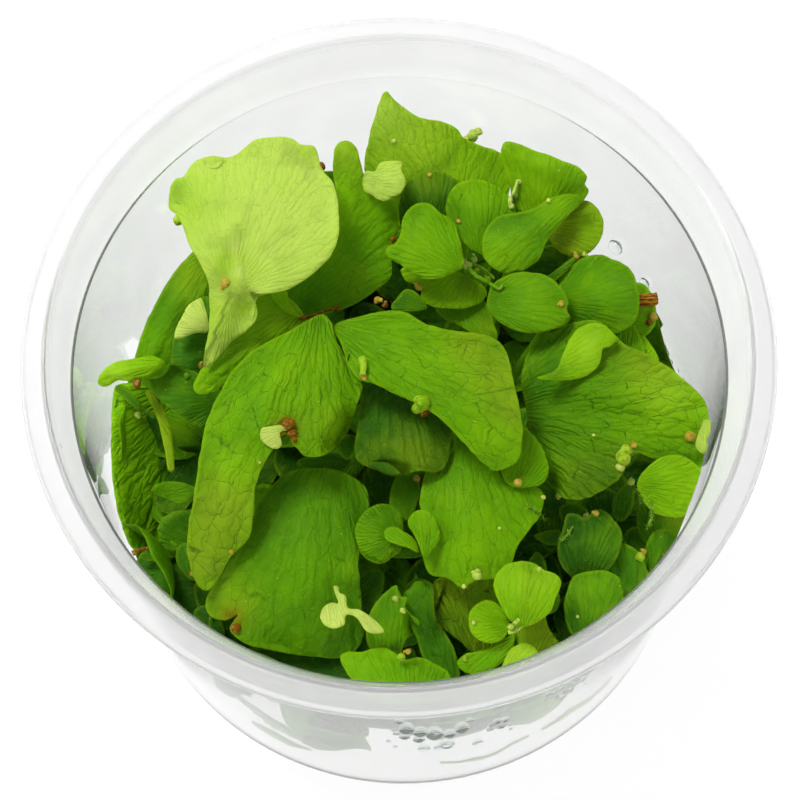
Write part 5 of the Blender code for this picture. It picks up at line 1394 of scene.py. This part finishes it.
def make_buds():
    """Every bud at its place, of one lump where it is tiny and of four otherwise."""
    chance = np.random.default_rng(2)
    spots = np.array([(u, v) for u, v, _, _ in BUDS])
    fronts = front_w(spots[:, 0], spots[:, 1])
    fronts = np.where(np.isnan(fronts), depth_at(spots[:, 1], HEAP_TOP), fronts)
    pieces = []
    for (u, v, size, green), w in zip(BUDS, fronts):
        middle = from_sight(u, v, w + 0.12 * size)
        for lump in range(1 if size < ONE_LUMP else 4):
            aside = chance.normal(0, 0.16, 3) * size if lump else np.zeros(3)
            radius = size * (0.40 if lump == 0 else chance.uniform(0.18, 0.28))
            if size < ONE_LUMP:
                radius = 0.45 * size
            bpy.ops.mesh.primitive_ico_sphere_add(
                subdivisions=3 if size > LARGE else 2, radius=radius * MM,
                location=tuple((middle + aside) * MM))
            piece = bpy.context.active_object
            bpy.ops.object.transform_apply()
            points = points_of(piece.data)
            away = points - middle
            points += away * (0.22 * waves(points, lump, size * 0.7))[:, None]
            piece.data.vertices.foreach_set("co", (points * MM).ravel())
            colour = np.array(GREENS[green]) * np.array((*[chance.uniform(0.85, 1.15)] * 3, 1.0))
            low = np.clip(0.5 - (away @ BACK) / size, 0, 1)[:, None] * 0.6
            wash = colour * (1 - low) + np.array(GREENS["brown"]) * low
            write(piece.data, "wash", "FLOAT_COLOR", wash)
            pieces.append(piece)
    buds = join_all(pieces, "buds")
    finished(buds.data, bud)
    settled(buds)
    return buds


buds = make_buds()
print("buds:", len(BUDS), "with", len(buds.data.polygons), "faces")

# %% [markdown]
# Some growths are thread-like: the pale tubes of young stalks and short roots with fine hairs.
# Each is a tube round a curved line, and the hairs are thin spikes that stand off it. A row holds
# the line, the tube's radius, how far it stands off what lies under it, its green and its hairs.

# %% A tube
SIDES = 8


def tube(places, radii):
    """The points and faces of a closed tube along places."""
    points, faces, sides = [], [], SIDES
    for index, (place, radius) in enumerate(zip(places, radii)):
        ahead = places[min(index + 1, len(places) - 1)] - places[max(index - 1, 0)]
        ahead = ahead / np.linalg.norm(ahead)
        first = np.cross(ahead, (0.3, 0.2, 0.93))
        first /= np.linalg.norm(first)
        second = np.cross(ahead, first)
        for k in range(sides):
            turn = math.tau * k / sides
            points.append(place + radius * (first * math.cos(turn) + second * math.sin(turn)))
    for index in range(len(places) - 1):
        for k in range(sides):
            a, b = index * sides + k, index * sides + (k + 1) % sides
            faces.append((a, b, b + sides, a + sides))
    faces.append(tuple(range(sides))[::-1])
    faces.append(tuple(range(len(points) - sides, len(points))))
    return points, faces


print("tubes have", SIDES, "sides")

# %% The threads
THREADS = (
    (((-5.0, -1.0), (-4.7, -1.8), (-4.7, -2.6), (-4.9, -3.4)), 0.50, 0.9, "yellow", 0),
    (((32.2, -21.2), (32.9, -22.4), (32.9, -23.6), (32.2, -25.2)), 0.22, 0.4, "fresh", 70),
    (((30.0, -18.6), (30.4, -19.6), (31.2, -20.6), (31.6, -22.0)), 0.18, 0.3, "middle", 45),
    (((16.0, 17.9), (15.5, 18.9), (16.3, 20.2), (16.8, 21.8)), 0.28, 0.4, "cream", 0),
    (((13.2, -37.9), (13.9, -37.3), (14.7, -36.6)), 0.30, 0.4, "pale", 0),
    (((13.0, -38.4), (14.2, -38.2), (15.0, -37.6)), 0.25, 0.3, "pale", 0),
    (((9.6, 10.4), (10.6, 9.2), (12.0, 8.4), (13.8, 7.2), (14.3, 7.9)), 0.30, 0.5, "fresh", 0),
    (((9.9, 10.9), (11.2, 10.4), (12.6, 9.4), (13.2, 8.6)), 0.22, 0.6, "bright", 0),
    (((-13.2, 4.4), (-11.4, 4.7), (-9.2, 5.4), (-7.4, 5.8)), 0.22, 0.3, "brown", 0),
    (((-36.5, -25.9), (-35.4, -25.5), (-34.2, -25.2)), 0.35, 0.4, "brown", 0),
    (((16.4, -21.6), (17.6, -22.4), (18.6, -23.6)), 0.2, 0.3, "middle", 30),
    (((20.6, -26.6), (21.6, -25.6), (22.2, -24.8)), 0.2, 0.3, "middle", 30),
)


HAIR_RADIUS = 0.035
GAP_HEIGHT = 52.0


def make_threads():
    """Every thread over what lies under it, as one piece."""
    chance = np.random.default_rng(8)
    points, faces, wash = [], [], []

    def put(places, polygons, colour):
        start = len(points)
        points.extend(places)
        faces.extend(tuple(corner + start for corner in polygon) for polygon in polygons)
        wash.extend([colour] * len(places))

    for line, radius, lift, green, hairs in THREADS:
        line = np.array(line)
        smooth = np.linspace(0, len(line) - 1, 5 * len(line))
        u, v = (np.interp(smooth, np.arange(len(line)), line[:, k]) for k in (0, 1))
        u, v = (np.convolve(np.pad(value, 2, mode="edge"), np.ones(5) / 5, "valid")
                for value in (u, v))
        w = front_w(u, v)
        w = np.where(np.isnan(w), depth_at(v, GAP_HEIGHT), w)
        w = np.full(len(w), w.max()) * 0.5 + w * 0.5 + lift
        places = from_sight(u, v, w)
        radii = radius * np.linspace(1.15, 0.75, len(u))
        put(*tube(places, radii), GREENS[green])
        for _ in range(hairs):
            index = chance.integers(0, len(places))
            out = chance.normal(size=3)
            out /= np.linalg.norm(out)
            root = places[index] + out * radius * 0.8
            tip = root + out * chance.uniform(0.35, 0.8)
            side = np.cross(out, (0.2, 0.9, 0.3))
            side *= HAIR_RADIUS / np.linalg.norm(side)
            other = np.cross(out, side)
            put([root + side, root - 0.5 * side + other, root - 0.5 * side - other, tip],
                [(0, 1, 3), (1, 2, 3), (2, 0, 3), (2, 1, 0)], GREENS["pale"])
    mesh = mesh_of("threads", np.array(points), faces)
    write(mesh, "wash", "FLOAT_COLOR", wash)
    finished(mesh, bud)
    piece = new_piece("threads", mesh)
    faces_outward(piece)
    settled(piece)
    return piece


threads = make_threads()
print("threads:", len(threads.data.polygons), "faces")

# %% [markdown]
# The pot is one turned piece of clear plastic. It is drawn as half a section and spun round the
# axis. Small radii at the rim and the foot catch the light in thin lines. Clear plastic alone would
# vanish on a white table, and the rim of the real pot shows as a pale ring, so a milky shader is
# mixed in: a little everywhere, more near the mouth and most on the rim. Where the foot is seen at
# a slant its colour is painted grey, a painted shade for the grey edges of a clear foot.

# %% The section
ARC_STEPS = 5


def arced(section, radii):
    """A section with its inner corners replaced by arcs of about the given radii."""
    steps = ARC_STEPS
    result = [section[0]]
    for before, corner, after, radius in zip(section, section[1:], section[2:], radii):
        before, corner, after = Vector(before), Vector(corner), Vector(after)
        back, ahead = (before - corner), (after - corner)
        reach = min(radius, 0.45 * back.length, 0.45 * ahead.length)
        start, end = corner + back.normalized() * reach, corner + ahead.normalized() * reach
        for k in range(steps + 1):
            t = k / steps
            result.append(tuple(start * (1 - t) ** 2 + corner * 2 * t * (1 - t) + end * t ** 2))
    result.append(section[-1])
    return result


SECTION = [
    (0.0, 0.7), (36.5, 0.7), (39.3, 1.9), (40.4, 5.2), (44.0, 65.7), (44.3, 66.1), (47.0, 73.0),
    (50.5, 71.5), (50.5, 70.6), (50.0, 70.6), (49.7, 71.2), (47.5, 72.2), (44.5, 65.4),
    (40.9, 4.6), (39.6, 1.3), (36.6, 0.0), (0.0, 0.0)]
SECTION_RADII = [2.5, 3.0, 2.5, 0.15, 0.15, 0.5, 0.25, 0.15, 0.1, 0.2, 0.5, 0.6, 2.5, 2.5, 2.0]
POT_STEPS = 160
print("the section has", len(arced(SECTION, SECTION_RADII)), "points")


# %% The turned piece
def turned(name, section, steps):
    """A half section spun round the axis, as a closed piece."""
    mesh = bpy.data.meshes.new(name)
    mesh.from_pydata([(r * MM, 0.0, z * MM) for r, z in section],
                     [(i, i + 1) for i in range(len(section) - 1)], [])
    piece = new_piece(name, mesh)
    only(piece)
    bpy.ops.object.mode_set(mode="EDIT")
    bpy.ops.mesh.select_all(action="SELECT")
    bpy.ops.mesh.spin(steps=steps, angle=math.tau, center=(0, 0, 0), axis=(0, 0, 1))
    bpy.ops.mesh.select_all(action="SELECT")
    bpy.ops.mesh.remove_doubles(threshold=0.005 * MM)
    bpy.ops.mesh.normals_make_consistent(inside=False)
    bpy.ops.object.mode_set(mode="OBJECT")
    mesh.shade_smooth()
    mesh.set_sharp_from_angle(angle=math.radians(35))
    return piece


print("turned in", POT_STEPS, "steps")

# %% The clear finish
CLEAR = (0.965, 0.97, 0.965, 1.0)
HAZY = (0.94, 0.945, 0.94, 1.0)
# The painted shade of the foot where it is seen at a slant.
SLANT_SHADE = (0.34, 0.36, 0.34, 1.0)
MILK = (0.76, 0.76, 0.76, 1.0)


def pot_finish():
    finish, shader, place = new_finish("clear_plastic")
    haze = place.noise(0.12, 3.0)
    height = place.part(2)
    radius = place.node("ShaderNodeVectorMath", {"operation": "LENGTH"}, output=1,
                        i0=place.scaled(1.0, 1.0, 0.0))
    foot = 1.0 - height.step(4.0, 11.0)
    slant = place.node("ShaderNodeLayerWeight", output=1, Blend=0.5)
    clear = haze.step(0.3, 0.7).between(CLEAR, HAZY)
    # Painted shade: the foot turns grey where it is seen at a slant.
    clear = clear.mixed(SLANT_SHADE, slant.step(0.45, 0.95) * foot)
    set_plain(shader, Transmission_Weight=1.0, IOR=1.33)
    place.feed(shader.inputs["Base Color"], clear)
    place.feed(shader.inputs["Roughness"], haze * 0.03)
    milk = place.node("ShaderNodeBsdfPrincipled", Base_Color=MILK, Roughness=0.4)
    mouth, rim = height.step(64.0, 68.0), radius.step(46.6, 47.4)
    share = 0.03 + mouth * 0.12 + rim * 0.2 + haze * 0.03
    blend = place.node("ShaderNodeMixShader",
                       i0=share, i1=Link(place.tree, shader.outputs[0]), i2=milk)
    place.feed(finish.node_tree.nodes["Material Output"].inputs["Surface"], blend)
    return finish


print("clear finish ready")

# %% The pot
pot = turned("pot_clear", arced(SECTION, SECTION_RADII), POT_STEPS)
pot.data.materials.append(pot_finish())
settled(pot)
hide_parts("pot")
pot.visible_shadow = False
print("pot:", len(pot.data.polygons), "faces")

# %% [markdown]
# Breath of the plants has settled on the wall as drops, which are flat domes of water. They are
# placed where the line of sight through them meets the wall.

# %% Drops on the wall
DROPS = (
    (6.5, -51.1, 1.15), (4.8, -51.8, 1), (2.8, -51.7, 1.35), (0.9, -51.4, 1.1), (-0.9, -50.9, 1.2),
    (-1.2, -51.9, 0.8), (0.7, -52.3, 0.9), (4.4, -53.1, 1.1), (8.5, -53, 0.8), (1.3, -53.5, 0.9),
    (-1.9, -49.9, 0.7), (-2.3, -51.4, 0.5), (-3.4, -52.3, 0.35), (-2.5, -53.1, 0.35),
    (7.6, -50.1, 0.6), (3.4, -53.4, 0.8), (10.3, -51.3, 0.6), (13, -51.3, 0.35), (11.8, -51, 0.7),
    (10.4, -51.1, 0.7), (11.5, -50.9, 0.7), (11.9, -51, 0.45), (12.9, -50.8, 0.35),
    (12.1, -50.8, 0.35), (10.6, -50.7, 0.6), (11.3, -50.4, 0.7), (12.3, -50.2, 0.7),
    (12.3, -50.3, 0.45), (22.4, -44.9, 0.3), (19.4, -47.4, 0.4), (20.5, -46.7, 0.55),
    (21.2, -46.7, 0.25), (23.2, -45.7, 0.3), (21.6, -45.9, 0.55), (21.2, -45.8, 0.55),
    (18.9, -46.9, 0.5), (18.6, -47.3, 0.3), (17.8, -47.5, 0.25), (18.2, -47, 0.55),
    (20, -47.5, 0.55), (18.6, -46.4, 0.25), (20.7, -45.7, 0.5), (19.2, -47.2, 0.4),
    (20, -47.4, 0.5), (20.3, -46.6, 0.55), (21.2, -46.5, 0.55), (19.4, -47.3, 0.4),
    (20, -46.3, 0.4), (17.7, -47.7, 0.25), (20, -46.2, 0.4), (20.6, -46.3, 0.4),
    (21.5, -45.2, 0.25), (23, -45.1, 0.55), (20.9, -45.7, 0.4), (29.5, 12.3, 1.25),
    (33.2, 7.3, 0.95), (33.7, 1, 0.5), (34.3, 0.4, 0.5), (33.9, -0.4, 0.55), (34.8, -0.9, 0.3),
    (35.1, -0.1, 0.3), (34.5, 1.4, 0.4), (35.5, -1.3, 0.5), (33.5, 2.1, 0.4), (35.8, -2, 0.5),
    (34.9, 0.9, 0.4), (-45.2, -11.2, 0.3), (36.3, -3.3, 0.4), (37.1, -4.5, 0.35), (37.8, -5.8, 0.3),
)


WALL_THICKNESS = 0.5
DROP_HEIGHT = 0.85


def make_drops():
    """Each drop where its line of sight meets the wall, on the inside."""
    skin = skin_of(pot.data)
    pieces = []
    for u, v, radius in DROPS:
        place, normal, _, _ = skin.ray_cast(Vector(EYE), Vector(line_of_sight(u, v)))
        place, normal = np.array(place), np.array(normal)
        if np.dot(normal[:2], place[:2]) > 0:
            place = place - normal * WALL_THICKNESS
            normal = -normal
        turn = Vector(normal).to_track_quat("Z", "Y").to_matrix().to_4x4()
        bpy.ops.mesh.primitive_uv_sphere_add(segments=24, ring_count=12, radius=1.0)
        piece = bpy.context.active_object
        flat_dome = (radius * MM, radius * MM, DROP_HEIGHT * radius * MM, 1.0)
        piece.matrix_world = (Matrix.Translation(Vector(place * MM)) @ turn
                              @ Matrix.Diagonal(flat_dome))
        only(piece)
        bpy.ops.object.transform_apply()
        piece.data.shade_smooth()
        pieces.append(piece)
    return join_all(pieces, "drops")


drops = make_drops()
water, water_shader, water_place = new_finish("water")
set_plain(water_shader, Base_Color=(0.90, 0.95, 0.92, 1.0), Transmission_Weight=1.0, IOR=1.33)
water_place.feed(water_shader.inputs["Roughness"], water_place.noise(0.8) * 0.02)
drops.data.materials.append(water)
drops.visible_shadow = False
settled(drops)
print("drops:", len(DROPS))

# %% [markdown]
# The table is plain and white, and glows a little, so that it stays white under the pot. The room
# is white too, brighter low down than overhead, which keeps the pot's wall bright and leaves the
# heap its shading. A wide lamp above on the left gives the soft shadows between the fronds, and a
# weak one opens them. The camera looks along the line of sight of the first cells.

# %% The table
bpy.ops.mesh.primitive_plane_add(size=3.0, location=(0, 0, -0.0002))
floor = bpy.context.active_object
floor.name = "table"
floor_finish, floor_shader, _ = new_finish("white_table")
set_plain(floor_shader, Base_Color=(0.14, 0.14, 0.14, 1), Roughness=0.9, Specular_IOR_Level=0.0,
          Emission_Color=(1, 1, 1, 1), Emission_Strength=0.92)
floor.data.materials.append(floor_finish)
print("table:", floor.name)

# %% The room
LIGHT_LOW = 0.92
DIMMER_ABOVE = 0.58
world = bpy.data.worlds.new("white_room")
bpy.context.scene.world = world
world.use_nodes = True
background = world.node_tree.nodes["Background"]
background.inputs["Color"].default_value = (1.0, 1.0, 1.0, 1.0)
height = Link(world.node_tree, None).node("ShaderNodeTexCoord").part(2)
height.feed(background.inputs["Strength"], LIGHT_LOW - height.step(0.1, 0.75) * DIMMER_ABOVE)
print("room:", world.name)


# %% The lamps
def lamp(name, place, size, power):
    """A square lamp that shines at the pot."""
    data = bpy.data.lights.new(name, "AREA")
    data.energy = power
    data.size = size
    turn = Vector(place).to_track_quat("Z", "Y").to_matrix().to_4x4()
    new_piece(name, data).matrix_world = Matrix.Translation(place) @ turn


lamp("key", (-0.28, 0.28, 0.75), 0.26, 4.1)
lamp("fill", (0.5, -0.5, 0.7), 0.6, 0.8)
bpy.context.scene.view_settings.view_transform = "Standard"
print("two lamps")

# %% The camera
FRAME_PIXELS = 800
PIXELS_PER_MM = 7.5226
AIM_PIXEL = (398.1, 348.0)
ROLL = 0.040
camera_data = bpy.data.cameras.new("camera")
camera = new_piece("camera", camera_data)
across = RIGHT * math.cos(ROLL) - UP * math.sin(ROLL)
upward = RIGHT * math.sin(ROLL) + UP * math.cos(ROLL)
turn = Matrix((Vector(across), Vector(upward), Vector(BACK))).transposed().to_4x4()
camera.matrix_world = Matrix.Translation(Vector(EYE) * MM) @ turn
camera_data.sensor_width = 36.0
camera_data.lens = PIXELS_PER_MM * SIGHT_DISTANCE / FRAME_PIXELS * camera_data.sensor_width
camera_data.shift_x = (FRAME_PIXELS / 2 - AIM_PIXEL[0]) / FRAME_PIXELS
camera_data.shift_y = (AIM_PIXEL[1] - FRAME_PIXELS / 2) / FRAME_PIXELS
camera_data.clip_start = 0.02
bpy.context.scene.camera = camera
print("camera lens", round(camera_data.lens, 1), "mm")
